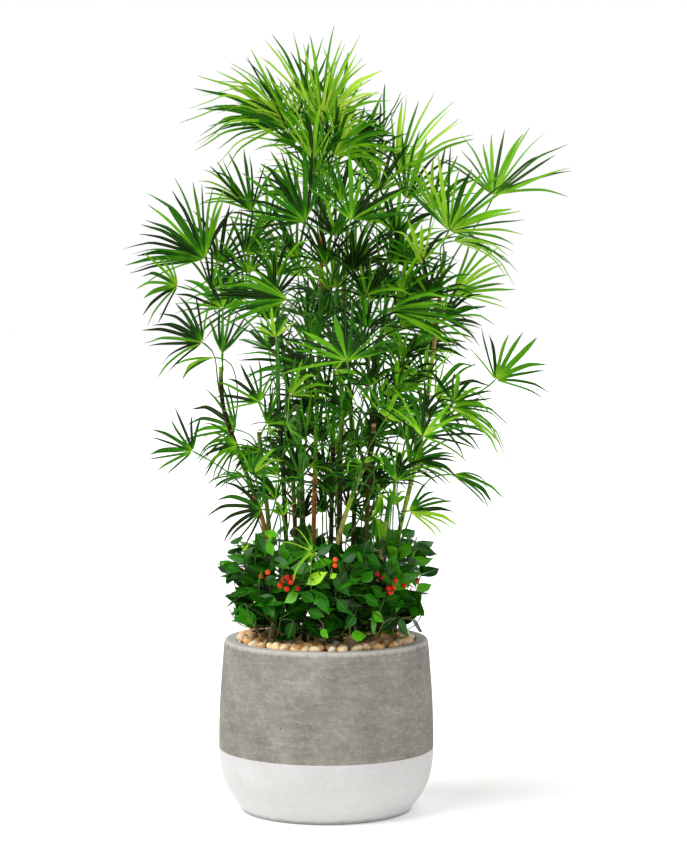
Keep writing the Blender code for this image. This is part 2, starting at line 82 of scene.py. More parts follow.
def addNode(tree, kind, inputs=(), stops=(), **settings):  # stops fill a ramp or a curve
    made = tree.nodes.new(kind if kind.startswith(("Geometry", "Function")) else "ShaderNode" + kind)
    for name, value in settings.items():
        setattr(made, name, value)
    feed(made, inputs)
    if stops and hasattr(made, "color_ramp"):
        stops, bar = [(place, linear(color)) for place, color in stops], made.color_ramp.elements
        bar[0].position, bar[0].color = stops[0]
        bar[1].position, bar[1].color = stops[-1]
        for place, color in stops[1:-1]:
            bar.new(place).color = color
    elif stops:
        curve = made.mapping.curves[0]
        curve.points[0].location, curve.points[1].location = stops[0], stops[-1]
        for x, y in stops[1:-1]:
            curve.points.new(x, y)
        made.mapping.update()
    return made


def startMaterial(name, *fields):  # fields: values on the mesh that the material reads
    material = bpy.data.materials.new(name)
    material.use_nodes = True
    material.node_tree.nodes.clear()
    add = partial(addNode, material.node_tree)
    shader = add("BsdfPrincipled")
    add("OutputMaterial", {"Surface": shader})
    place = add("TexCoord").outputs["Object"]
    return material, add, shader, place, *[add("Attribute", attribute_name=f).outputs["Fac"] for f in fields]


def startTree(name, sizes):  # a geometry tree with named inputs
    tree = bpy.data.node_groups.new(name, "GeometryNodeTree")
    for label, value in {"Geometry": None, **sizes}.items():
        kind = {int: "Int", float: "Float", str: "Material"}.get(type(value), "Geometry")
        socket = tree.interface.new_socket(label, in_out="INPUT", socket_type=f"NodeSocket{kind}")
        if kind in ("Int", "Float"):
            socket.default_value = value
    tree.interface.new_socket("Geometry", in_out="OUTPUT", socket_type="NodeSocketGeometry")
    given, result = tree.nodes.new("NodeGroupInput").outputs, tree.nodes.new("NodeGroupOutput")
    return tree, partial(addNode, tree), given, result


def roughened(add, geometry, place, scale, detail, depth):  # moves a surface along its normals by a noise
    lift = add("TexNoise", {"Vector": place, "Scale": scale, "Detail": detail})
    lift = add("Math", [lift, 0.5], operation="SUBTRACT")
    lift = add("Math", [lift, depth], operation="MULTIPLY")
    push = add("VectorMath", {0: add("GeometryNodeInputNormal"), "Scale": lift}, operation="SCALE")
    return add("GeometryNodeSetPosition", {"Geometry": geometry, "Offset": push})


def addItem(name, mesh):
    item = bpy.data.objects.new(name, mesh)
    scene.collection.objects.link(item)
    return item


def grown(name, guide, tree, values, sharp=35):  # runs a tree on a guide mesh and keeps the plain result
    item = addItem(name, guide)
    growth = item.modifiers.new("Growth", "NODES")
    growth.node_group = tree
    for socket in tree.interface.items_tree:
        if socket.in_out == "INPUT" and socket.name in values:
            growth[socket.identifier] = values[socket.name]
    mesh = bpy.data.meshes.new_from_object(item.evaluated_get(bpy.context.evaluated_depsgraph_get()))
    item.modifiers.clear()
    item.data = mesh
    mesh.name = name
    for label in ("side", "halfWidth", "limit", "rounds", "size", "spin"):
        if label in mesh.attributes:
            mesh.attributes.remove(mesh.attributes[label])
    mesh.shade_smooth()
    mesh.set_sharp_from_angle(angle=math.radians(sharp))
    return item


def finishPiece(item, slotName, *nodes):
    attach(item, "root")
    if nodes:
        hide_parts(*nodes)


def smoothLine(points, steps):  # Catmull-Rom through the points, as in the CAD
    line, spans = [], len(points) - 1
    for k in range(steps + 1):
        place = spans * k / steps
        i = min(int(place), spans - 1)
        t = place - i
        p0, p1, p2, p3 = points[max(i - 1, 0)], points[i], points[i + 1], points[min(i + 2, spans)]
        bend = (p2 - p0) * t + (2 * p0 - 5 * p1 + 4 * p2 - p3) * t**2
        line.append(0.5 * (2 * p1 + bend + (3 * p1 - p0 - 3 * p2 + p3) * t**3))
    return line


def atDepth(x, z, y):  # a spot seen at x, z on the pot's axis plane, moved along the line of sight to depth y
    seen = mm(x, 0, z)
    return eye + (seen - eye) * ((y / 1000 - eye.y) / -eye.y)


# Camera and studio

studio = {
    "lookAt": (0.035, 0.0, 0.775), "verticalView": 17.3,
    # where each lamp stands, how many degrees wide it looks, how strong it is
    "key": ((-1.0, -0.5, 1.3), 50, 3.0), "fill": ((0.75, -0.85, 0.45), 60, 0.82),
    "rim": ((0.3, 0.9, 1.1), 40, 0.7), "sky": 0.29, "tableGlow": 0.27, "tableReach": 20,
}


def makeStudio():
    lens = bpy.data.cameras.new("photoCamera")
    lens.lens = lens.sensor_width / 2 / math.tan(math.radians(studio["verticalView"] / 2))
    lens.clip_end = 60
    camera = addItem("photoCamera", lens)
    camera.location = eye
    camera.rotation_euler = (Vector(studio["lookAt"]) - eye).to_track_quat("-Z", "Y").to_euler()
    scene.camera = camera
    for name in ("key", "fill", "rim"):
        place, width, power = studio[name]
        lamp = bpy.data.lights.new(name, "SUN")
        lamp.angle, lamp.energy = math.radians(width), power
        item = addItem(name, lamp)
        item.location = Vector(place) * 3
        item.rotation_euler = Vector(place).to_track_quat("Z", "Y").to_euler()
    world = bpy.data.worlds.new("whiteRoom")
    world.use_nodes = True
    world.node_tree.nodes.clear()
    add = partial(addNode, world.node_tree)
    # the room is plain white to the eye and a softer grey as a light
    ray = add("LightPath")
    strength = add("MapRange", [ray, 0, 1, studio["sky"], 1.0])
    sky = add("Background", {"Color": (1, 1, 1, 1), "Strength": strength})
    add("OutputWorld", {"Surface": sky})
    scene.world = world
    scene.view_settings.view_transform = "Standard"

    # frosted acrylic of a product table: matt white, lit from below, so that shadows stay faint
    material, add, shader, place = startMaterial("frosted_white_acrylic")
    tooth = add("TexNoise", {"Vector": place, "Scale": 300.0})
    tint = add("ValToRGB", [tooth], [(0.0, "#F6F5F3"), (1.0, "#FCFBFA")])
    feed(shader, {"Base Color": tint, "Roughness": 0.9, "Specular IOR Level": 0.1,
                  "Emission Color": (1, 1, 1, 1), "Emission Strength": studio["tableGlow"]})
    mesh, far = bpy.data.meshes.new("studioFloor"), studio["tableReach"]
    mesh.from_pydata([(-far, -far, 0), (far, -far, 0), (far, far, 0), (-far, far, 0)], [], [(0, 1, 2, 3)])
    mesh.materials.append(material)
    addItem("studioFloor", mesh)


makeStudio()
print("studio ready")


# Pot: turned concrete shell, dipped in white paint up to a level line

pot = {
    "height": 0.350, "bellyRadius": 0.2190, "bellyHeight": 0.150, "rimRadius": 0.2072,
    "footRadius": 0.168, "upperCurve": 1.6, "lowerCurve": 3.0, "wall": 0.025, "floor": 0.030,
    "rimRounding": 0.006, "footRounding": 0.007, "mulchTop": 0.337, "soilTop": 0.320,
    "drainRadius": 0.009, "drainCircle": 0.060, "drainHoles": 3,
    "paintLine": 0.1285, "paintThickness": 0.0003, "segments": 192, "handCast": 0.00035,
    "drillSides": 32, "overshoot": 0.01,
}


def potRadius(z):
    if z >= pot["bellyHeight"]:
        t = (z - pot["bellyHeight"]) / (pot["height"] - pot["bellyHeight"])
        return pot["bellyRadius"] - (pot["bellyRadius"] - pot["rimRadius"]) * t ** pot["upperCurve"]
    t = (pot["bellyHeight"] - z) / pot["bellyHeight"]
    return pot["bellyRadius"] - (pot["bellyRadius"] - pot["footRadius"]) * t ** pot["lowerCurve"]


def potProfile():  # underside, foot, side with the paint's step, lip, inside, floor
    height, line, paint = pot["height"], pot["paintLine"], pot["paintThickness"]
    foot, rim, inner = pot["footRounding"], pot["rimRounding"], 0.003
    corner = potRadius(foot) - foot
    profile = [(0.03 * k, 0.0) for k in range(1, 5)] + [(corner - 0.012, 0.0)]
    for k in range(7):
        turn = math.radians(15 * k)
        profile.append((corner + foot * math.sin(turn), foot * (1 - math.cos(turn))))
    low = [foot + (line - foot) * (k / 22) for k in range(1, 22)]
    profile += [(potRadius(z), z) for z in low]
    profile += [(potRadius(line) + paint * p, line + z) for p, z in ((0, -0.0009), (0, 0.0), (-1, 0.0004))]
    high = [line + 0.002 + (height - rim - line - 0.002) * k / 30 for k in range(31)]
    profile += [(potRadius(z) - paint, z) for z in high]
    shoulder = pot["rimRadius"] - paint - rim
    for k in range(1, 8):
        turn = math.radians(90 * k / 7)
        profile.append((shoulder + rim * math.cos(turn), height - rim * (1 - math.sin(turn))))
    mouth = pot["rimRadius"] - pot["wall"]
    profile += [(mouth + inner + (shoulder - mouth - inner) * (1 - k / 4), height) for k in range(1, 4)]
    for k in range(5):
        turn = math.radians(90 + 90 * k / 4)
        profile.append((mouth + inner + inner * math.cos(turn), height - inner * (1 - math.sin(turn))))
    deep = [height - inner - (height - inner - pot["floor"]) * k / 16 for k in range(1, 17)]
    profile += [(potRadius(z) - pot["wall"], z) for z in deep]
    return profile + [(potRadius(pot["floor"]) * 0.5, pot["floor"])]


def turnedMesh(name, profile, lowPole, highPole, segments):
    points = [Vector((0, 0, lowPole))]
    for radius, z in profile:
        for k in range(segments):
            turn = 2 * math.pi * k / segments
            points.append(Vector((radius * math.cos(turn), radius * math.sin(turn), z)))
    points.append(Vector((0, 0, highPole)))
    faces, last = [], len(points) - 1
    for k in range(segments):
        n = (k + 1) % segments
        faces.append((0, 1 + n, 1 + k))
        for ring in range(len(profile) - 1):
            a, b = 1 + ring * segments, 1 + (ring + 1) * segments
            faces.append((a + k, a + n, b + n, b + k))
        top = 1 + (len(profile) - 1) * segments
        faces.append((top + k, top + n, last))
    mesh = bpy.data.meshes.new(name)
    mesh.from_pydata(points, [], faces)
    return mesh


def castConcrete():
    # cast concrete, cured in a mould and sealed: matt grey, cloudy, fine pinholes and pale hairlines.
    # Below the line a dip of white mineral paint: smoother, satin, a little of the cast still shows
    look = {
        "cloud": 14.0, "mottle": 85.0, "grain": 620.0, "bleed": 160.0, "pinhole": 34.0, "pinholeSize": 0.072}
    material, add, shader, place = startMaterial("cast_concrete_dipped_in_paint")
    height = add("SeparateXYZ", [place]).outputs["Z"]
    # clouds of 70 mm, mottling of 12 mm and sand of 1.6 mm
    cloud = add("TexNoise", {"Vector": place, "Scale": look["cloud"], "Detail": 5.0, "Roughness": 0.6})
    mottle = add("TexNoise", {"Vector": place, "Scale": look["mottle"], "Detail": 6.0, "Roughness": 0.7})
    grain = add("TexNoise", {"Vector": place, "Scale": look["grain"], "Detail": 2.0})
    # level streaks that the float left as it went round: 8 mm high, 80 mm long
    drawn = add("Mapping", {"Vector": place, "Rotation": (0.03, 0.04, 0.2), "Scale": (13.0, 13.0, 125.0)})
    streak = add("TexNoise", {"Vector": drawn, "Scale": 1.0, "Detail": 5.0, "Roughness": 0.7})
    blend = 0.0
    for part, share in ((cloud, 0.35), (mottle, 0.29), (streak, 0.22), (grain, 0.14)):
        blend = add("Math", [part, share, blend], operation="MULTIPLY_ADD")
    grey = add("ValToRGB", [blend], [
        (0.38, "#6A665F"), (0.46, "#7B766F"), (0.54, "#8B867E"), (0.63, "#A29E96")])
    # pale hairlines: thin bands of a stretched noise
    stretch = add("Mapping", {"Vector": place, "Rotation": (0.12, 0.16, 0.2), "Scale": (16.0, 16.0, 74.0)})
    vein = add("TexNoise", {"Vector": stretch, "Scale": 1.0, "Detail": 4.0, "Roughness": 0.55})
    band = add("Math", [add("Math", [vein, 0.5], operation="SUBTRACT")], operation="ABSOLUTE")
    hairline = add("MapRange", [band, 0.0, 0.009, 0.55, 0.0])
    # painted light: the lip's top is painted paler, as where light catches it
    rise = add("Math", [mottle, 0.012, height], operation="MULTIPLY_ADD")
    wearAndPaintedLight = add("MapRange", [rise, pot["height"] - 0.004, pot["height"] + 0.004, 0.0, 0.75])
    # pinholes where air sat against the mould, in some of the cells
    cells = add("TexVoronoi", {"Vector": place, "Scale": look["pinhole"]})
    hole = add("MapRange", [cells, look["pinholeSize"] * 0.6, look["pinholeSize"], 1.0, 0.0])
    chance = add("Math", [add("SeparateColor", [cells.outputs["Color"]]), 0.8], operation="GREATER_THAN")
    hole = add("Math", [hole, chance], operation="MULTIPLY")
    for share, markAndLightTint in ((hairline, "#BAB6AE"), (wearAndPaintedLight, "#C6C2BA"), (hole, "#3F3B36")):
        grey = add("Mix", {0: share, 6: grey, 7: markAndLightTint}, data_type="RGBA")
    # the dip: a level line with a hair of bleed, and painted shade at the foot's edge as a contact shadow
    bleed = add("TexNoise", {"Vector": place, "Scale": look["bleed"], "Detail": 3.0})
    line = add("Math", [bleed, 0.0007, height], operation="MULTIPLY_ADD")
    paint = add("MapRange", [line, pot["paintLine"] + 0.0003, pot["paintLine"] + 0.0007, 1.0, 0.0])
    white = add("ValToRGB", [blend], [(0.38, "#BDBCBB"), (0.6, "#CBCAC9")])
    # painted shade: the white darkens to grey below 16 mm, most below 8 mm, a contact shadow
    paintedContactShadow = add("MapRange", [rise, 0.008, 0.016, 0.75, 0.0])
    white = add("Mix", {0: paintedContactShadow, 6: white, 7: "#5F5C58"}, data_type="RGBA")
    color = add("Mix", {0: paint, 6: grey, 7: white}, data_type="RGBA")
    matt = add("MapRange", [mottle, 0.3, 0.7, 0.78, 0.92])
    satin = add("MapRange", [mottle, 0.3, 0.7, 0.42, 0.5])
    rough = add("Mix", {0: paint, 2: matt, 3: satin})
    relief = add("Math", [hole, -1.6, blend], operation="MULTIPLY_ADD")
    depth = add("MapRange", [paint, 0, 1, 0.55, 0.12])
    bump = add("Bump", {"Strength": depth, "Distance": 0.0012, "Height": relief})
    feed(shader, {"Base Color": color, "Roughness": rough, "Normal": bump})
    return material


def makePot():
    mesh = turnedMesh("pot", potProfile(), 0.0, pot["floor"], pot["segments"])
    for point in mesh.vertices:  # hand-cast unevenness of the outside, never at the resting face
        radius = math.hypot(point.co.x, point.co.y)
        if point.co.z > 0.02 and radius > 0.1:
            swell = pot["handCast"] * noise.noise(point.co * 11.0) / radius
            point.co.x *= 1 + swell
            point.co.y *= 1 + swell
    item = addItem("concrete_pot", mesh)
    points, faces, sides = [], [], pot["drillSides"]
    for k in range(pot["drainHoles"]):
        turn = math.radians(30 + 120 * k)
        x, y, start = pot["drainCircle"] * math.cos(turn), pot["drainCircle"] * math.sin(turn), len(points)
        for z in (-pot["overshoot"], pot["floor"] + pot["overshoot"]):
            for s in range(sides):
                a = 2 * math.pi * s / sides
                points.append((x + pot["drainRadius"] * math.cos(a), y + pot["drainRadius"] * math.sin(a), z))
        faces.append(tuple(start + s for s in reversed(range(sides))))
        faces.append(tuple(start + sides + s for s in range(sides)))
        for s in range(sides):
            n = (s + 1) % sides
            faces.append((start + s, start + n, start + sides + n, start + sides + s))
    drill = bpy.data.meshes.new("drill")
    drill.from_pydata(points, [], faces)
    cutter = addItem("drill", drill)
    cut = item.modifiers.new("Drain holes", "BOOLEAN")
    cut.operation, cut.solver, cut.object = "DIFFERENCE", "EXACT", cutter
    drilled = bpy.data.meshes.new_from_object(item.evaluated_get(bpy.context.evaluated_depsgraph_get()))
    item.modifiers.clear()
    item.data = drilled
    bpy.data.objects.remove(cutter)
    drilled.materials.clear()
    drilled.materials.append(castConcrete())
    drilled.shade_smooth()
    drilled.set_sharp_from_angle(angle=math.radians(50))
    finishPiece(item, "pot", "planter_pot")


makePot()
print("pot turned")


# Soil: the CAD node stays and gets its looks

def pottingSoil():
    # damp peat and bark potting mix: nearly black crumbs, dull, with lighter fibres
    material, add, shader, place = startMaterial("damp_potting_soil")
    crumbs = add("TexVoronoi", {"Vector": place, "Scale": 260.0})  # 4 mm crumbs
    fine = add("TexNoise", {"Vector": place, "Scale": 420.0, "Detail": 4.0})
    mix = add("Math", [crumbs, 0.6, fine], operation="MULTIPLY_ADD")
    color = add("ValToRGB", [mix], [(0.35, "#1B120B"), (0.7, "#33241A"), (1.0, "#54402C")])
    rough = add("MapRange", [fine, 0, 1, 0.8, 1.0])
    bump = add("Bump", {"Strength": 0.9, "Distance": 0.003, "Height": mix})
    feed(shader, {"Base Color": color, "Roughness": rough, "Normal": bump})
    return material


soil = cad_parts["potting_soil"]
soil.data.materials.clear()
soil.data.materials.append(pottingSoil())
print("soil dressed")


# Canes: thirteen slender stems with joints and old fibre sheaths

caneTable = [  # millimetres: the foot's x and y at the mulch, then points higher up
    [(-97, -38), (-122, -45, 570), (-170, -50, 717), (-205, -52, 820), (-211, -50, 905)],
    [(106, 12), (150, 18, 572), (193, 20, 755), (221, 22, 966), (240, 20, 1135)],
    [(4, -66), (20, -66, 535), (61, -58, 670), (90, -48, 730), (96, -45, 790)],
    [(-30, 22), (-26, 24, 568), (-20, 28, 792), (-10, 30, 1100), (-12, 30, 1290)],
    [(-58, 66), (-66, 80, 600), (-80, 100, 850), (-115, 120, 1090)],
    [(-76, -8), (-82, -14, 568), (-88, -18, 700), (-96, -20, 830), (-98, -20, 955)],
    [(8, 52), (10, 54, 568), (14, 58, 751), (18, 60, 890)],
    [(30, -12), (28, -12, 568), (30, -10, 790), (36, -10, 1035), (43, -10, 1185)],
    [(44, 92), (57, 108, 600), (50, 140, 800), (40, 170, 1000)],
    [(76, 44), (82, 50, 568), (98, 56, 850), (130, 62, 1080)],
    [(92, -52), (116, -64, 560), (128, -78, 640)],
    [(-44, -62), (-46, -66, 600), (-52, -70, 751), (-56, -75, 830)],
    [(-100, 48), (-118, 84, 560), (-140, 126, 760)],
]
caneSkins = {  # sheath and bark colours
    "fibre": "#2C200E", "tan": "#AC985C", "rust": "#96602C", "green": "#387818", "fresh": "#5CA422",
    "lime": "#90B038", "moss": "#56681E", "dark": "#1C3008", "umber": "#4C3C14",
}
caneColors = [  # heights in millimetres where each skin begins, from the mulch up
    [(0, "moss"), (560, "rust"), (640, "green"), (700, "fibre"), (890, "lime")],
    [(0, "moss"), (560, "lime"), (735, "rust"), (765, "green"), (850, "lime"), (905, "tan"), (965, "rust"),
     (1048, "lime"), (1105, "green")],
    [(0, "tan"), (600, "lime"), (690, "moss"), (720, "fibre"), (780, "tan")],
    [(0, "umber"), (520, "rust"), (690, "fresh"), (900, "green"), (1060, "rust"), (1150, "tan"),
     (1215, "lime")],
    [(0, "umber"), (620, "moss"), (900, "green")],
    [(0, "fibre"), (640, "dark"), (850, "green")],
    [(0, "dark"), (700, "fibre"), (840, "green")],
    [(0, "fibre"), (786, "tan"), (842, "green"), (1010, "moss"), (1120, "lime")],
    [(0, "umber"), (700, "green")],
    [(0, "moss"), (600, "umber"), (820, "green")],
    [(0, "tan"), (560, "lime"), (600, "green")],
    [(0, "dark"), (650, "green")],
    [(0, "umber"), (560, "moss")],
]
cane = {
    "radiusLow": 0.0058, "radiusTop": 0.0046, "tallest": 1.3, "straight": 0.012, "socket": 0.040,
    "jointSpacing": 0.034, "swell": 0.12, "sides": 12, "step": 0.0042, "fibreDepth": 0.0007, "slim": 0.84,
}


def caneLine(points, steps):
    foot = mm(*points[0], 0)
    bends = [foot + up * (pot["mulchTop"] + cane["straight"])] + [mm(*p) for p in points[1:]]
    return [foot + up * (pot["soilTop"] - cane["socket"])] + smoothLine(bends, steps)


def caneRadius(z):
    low = pot["soilTop"] - cane["socket"]
    return cane["radiusLow"] - (cane["radiusLow"] - cane["radiusTop"]) / cane["tallest"] * (z - low)


def caneSpot(line, height):  # centre, radius and direction of a cane at a height, as the CAD works them out
    for low, high in zip(line, line[1:]):
        if low.z <= height <= high.z:
            t = (height - low.z) / (high.z - low.z)
            return low.lerp(high, t), caneRadius(low.z), (high - low).normalized()
    raise ValueError("no cane at that height")


caneLines = [caneLine(points, 6) for points in caneTable]
fineLines = [caneLine(points, 72) for points in caneTable]


def skinAt(number, z, draw):
    names = caneColors[number]
    name = [n for low, n in names if low <= z * 1000 + draw.uniform(-9, 9)][-1]
    shade = draw.uniform(0.8, 1.2)
    return [min(part * shade, 1.0) for part in linear(caneSkins[name])[:3]]


def caneSkinMaterial():
    # palm cane: a green stem under dry woven sheath fibre, ringed at each joint, dull
    material, add, shader, place, joints = startMaterial("palm_cane_with_dry_sheath_fibre", "joints")
    skin = add("Attribute", attribute_name="skin").outputs["Color"]
    # lengthwise fibres about 1 mm apart, drawn long
    stretch = add("Mapping", {"Vector": place, "Scale": (1.0, 1.0, 0.1)})
    fibre = add("TexNoise", {"Vector": stretch, "Scale": 900.0, "Detail": 4.0, "Roughness": 0.65})
    patch = add("TexNoise", {"Vector": place, "Scale": 95.0, "Detail": 3.0})
    ring = add("FloatCurve", {"Value": add("Math", [joints], operation="FRACT")}, [
        (0.0, 1.0), (0.05, 0.75), (0.12, 0.0), (0.88, 0.0), (0.95, 0.5), (1.0, 1.0)])
    shade = add("MapRange", [fibre, 0.3, 0.7, 0.55, 1.35])
    color = add("Mix", {0: 1.0, 6: skin, 7: shade}, data_type="RGBA", blend_type="MULTIPLY")
    wearAndPaintedLight = add("MapRange", [patch, 0.56, 0.66, 0, 0.55])
    color = add("Mix", {0: wearAndPaintedLight, 6: color, 7: "#54402A"}, data_type="RGBA")
    pale = add("Math", [ring, 0.28], operation="MULTIPLY")
    color = add("Mix", {0: pale, 6: color, 7: "#8F8A52"}, data_type="RGBA")
    rough = add("MapRange", [fibre, 0, 1, 0.5, 0.85])
    bump = add("Bump", {"Strength": 0.6, "Distance": 0.0008, "Height": fibre})
    feed(shader, {"Base Color": color, "Roughness": rough, "Specular IOR Level": 0.12, "Normal": bump})
    return material


def caneTree():
    tree, add, given, result = startTree("grow cane", {
        "Joint Spacing": 0.034, "Swell": 0.16, "Sides": 12, "Step": 0.004, "Fibre Depth": 0.0006, "Skin": ""})
    line = add("GeometryNodeMeshToCurve", {"Mesh": given["Geometry"]})
    line = add("GeometryNodeResampleCurve", {"Curve": line, "Length": given["Step"]}, mode="LENGTH")
    along = add("GeometryNodeSplineParameter").outputs["Length"]
    place = add("GeometryNodeInputPosition")
    drift = add("TexNoise", {"Vector": place, "Scale": 7.0, "Detail": 1.0})
    count = add("Math", [along, given["Joint Spacing"]], operation="DIVIDE")
    count = add("Math", [drift, 3.0, count], operation="MULTIPLY_ADD")  # joints are unevenly spaced
    line = add("GeometryNodeStoreNamedAttribute", {"Geometry": line, "Name": "joints", "Value": count},
               data_type="FLOAT", domain="POINT")
    joints = add("GeometryNodeInputNamedAttribute", {"Name": "joints"}, data_type="FLOAT")
    pulse = add("FloatCurve", {"Value": add("Math", [joints], operation="FRACT")}, [
        (0.0, 1.0), (0.05, 0.8), (0.13, 0.0), (0.7, 0.1), (0.93, 0.45), (1.0, 1.0)])
    wide = add("Math", [pulse, given["Swell"], 1.0], operation="MULTIPLY_ADD")
    radius = add("GeometryNodeInputNamedAttribute", {"Name": "halfWidth"}, data_type="FLOAT")
    wide = add("Math", [wide, radius], operation="MULTIPLY")
    ring = add("GeometryNodeCurvePrimitiveCircle", {"Resolution": given["Sides"], "Radius": 1.0})
    tube = add("GeometryNodeCurveToMesh", {
        "Curve": line, "Profile Curve": ring, "Scale": wide, "Fill Caps": True})
    squash = add("VectorMath", [place, (1.0, 1.0, 0.25)], operation="MULTIPLY")  # fibres run lengthwise
    moved = roughened(add, tube, squash, 420.0, 2.0, given["Fibre Depth"])
    whole = add("GeometryNodeRealizeInstances", [moved])
    skinned = add("GeometryNodeSetMaterial", {"Geometry": whole, "Material": given["Skin"]})
    feed(result, {"Geometry": skinned})
    return tree


# Strands: every leaf blade and thin stem is a line of points with its sizes on them

strandFields = ("halfWidth", "limit", "along", "tone", "dryFrom", "rounds")


def strand(points, halfWidth, tone, side=None, limit=None, rounds=0.0, dryFrom=1.1):
    count = len(points)
    return {
        "points": points, "halfWidth": halfWidth, "limit": limit or [1.0] * count,
        "along": [k / (count - 1) for k in range(count)], "tone": [tone] * count,
        "dryFrom": [dryFrom] * count, "rounds": [rounds] * count, "side": side or [Vector((1, 0, 0))] * count,
    }


def guideMesh(name, strands, extra=()):  # extra: names of colour vectors that the strands hold too
    points, edges = [], []
    for one in strands:
        start = len(points)
        points += one["points"]
        edges += [(start + k, start + k + 1) for k in range(len(one["points"]) - 1)]
    mesh = bpy.data.meshes.new(name)
    mesh.from_pydata(points, edges, [])
    for label in strandFields:
        mesh.attributes.new(label, "FLOAT", "POINT")
    for label in ("side", *extra):
        mesh.attributes.new(label, "FLOAT_VECTOR", "POINT")
    for label in strandFields:
        mesh.attributes[label].data.foreach_set("value", [v for one in strands for v in one[label]])
    for label in ("side", *extra):
        flat = [c for one in strands for v in one[label] for c in v]
        mesh.attributes[label].data.foreach_set("vector", flat)
    return mesh


def strandTree():  # blades get a folded flat section, stems a round one
    tree, add, given, result = startTree("grow strands", {
        "Blade Steps": 13, "Stem Steps": 12, "Blade Sides": 6, "Stem Sides": 7, "Fold": 0.45,
        "Thickness": 0.13, "Blade Skin": "", "Stem Skin": ""})
    rounds, half, limit, side = [
        add("GeometryNodeInputNamedAttribute", {"Name": label}, data_type=kind) for label, kind in (
            ("rounds", "FLOAT"), ("halfWidth", "FLOAT"), ("limit", "FLOAT"), ("side", "FLOAT_VECTOR"))]
    parted = add("GeometryNodeSeparateGeometry", {"Geometry": given["Geometry"], "Selection": rounds},
                 domain="POINT")
    wide = add("Math", [half, limit], operation="MINIMUM")
    wide = add("Math", [wide, 0.00012], operation="MAXIMUM")
    lines, rings = [], []
    for kind, chosen in (("Blade", "Inverted"), ("Stem", "Selection")):
        line = add("GeometryNodeMeshToCurve", {"Mesh": parted.outputs[chosen]})
        line = add("GeometryNodeCurveSplineType", {"Curve": line}, spline_type="CATMULL_ROM")
        lines.append(add("GeometryNodeResampleCurve", {"Curve": line, "Count": given[kind + " Steps"]}))
        rings.append(add("GeometryNodeCurvePrimitiveCircle", {
            "Resolution": given[kind + " Sides"], "Radius": 1.0}))
    lines[0] = add("GeometryNodeSetCurveNormal", {"Curve": lines[0], "Normal": side}, mode="FREE")
    # the blade's section: points on a flat ellipse, sunk in a V towards the midrib
    index = add("Math", [add("GeometryNodeInputIndex"), 0.5], operation="ADD")
    step = add("Math", [2 * math.pi, given["Blade Sides"]], operation="DIVIDE")
    turn = add("Math", [index, step], operation="MULTIPLY")
    first = add("Math", [step, 0.5], operation="MULTIPLY")
    reach = add("Math", [first], operation="COSINE")
    x = add("Math", [add("Math", [turn], operation="COSINE"), reach], operation="DIVIDE")
    rise = add("Math", [turn], operation="SINE")
    away = add("Math", [add("Math", [x], operation="ABSOLUTE"), 1.0], operation="SUBTRACT")
    sunk = add("Math", [away, given["Fold"]], operation="MULTIPLY")
    y = add("Math", [rise, given["Thickness"], sunk], operation="MULTIPLY_ADD")
    below = add("Math", [rise, 0.0], operation="LESS_THAN")
    for label, value in (("edge", x), ("underside", below)):
        rings[0] = add("GeometryNodeStoreNamedAttribute", {
            "Geometry": rings[0], "Name": label, "Value": value}, data_type="FLOAT", domain="POINT")
    spot = add("CombineXYZ", {"X": x, "Y": y})
    rings[0] = add("GeometryNodeSetPosition", {"Geometry": rings[0], "Position": spot})
    both = add("GeometryNodeJoinGeometry")
    for line, ring in zip(lines, rings):
        feed(both, [add("GeometryNodeCurveToMesh", {
            "Curve": line, "Profile Curve": ring, "Scale": wide, "Fill Caps": True})])
    whole = add("GeometryNodeRealizeInstances", [both])
    skin = add("GeometryNodeSetMaterial", {"Geometry": whole, "Material": given["Blade Skin"]})
    skin = add("GeometryNodeSetMaterial", {
        "Geometry": skin, "Selection": rounds, "Material": given["Stem Skin"]})
    feed(result, {"Geometry": skin})
    return tree


growStrands = strandTree()


def makeCanes():
    growCane = caneTree()
    skin = caneSkinMaterial()
    for number, line in enumerate(fineLines):
        draw = random.Random(300 + number)
        one = strand(line, [caneRadius(p.z) * cane["slim"] for p in line], 0.5)
        one["skin"] = [skinAt(number, p.z, draw) for p in line]
        guide = guideMesh(f"cane{number + 1:02d}", [one], ["skin"])
        item = grown(f"cane_{number + 1:02d}", guide, growCane, {
            "Joint Spacing": cane["jointSpacing"], "Swell": cane["swell"], "Sides": cane["sides"],
            "Step": cane["step"], "Fibre Depth": cane["fibreDepth"], "Skin": skin})
        finishPiece(item, "cane", f"palm_cane_{number + 1:02d}")


makeCanes()
print("canes grown")


# Palm leaves

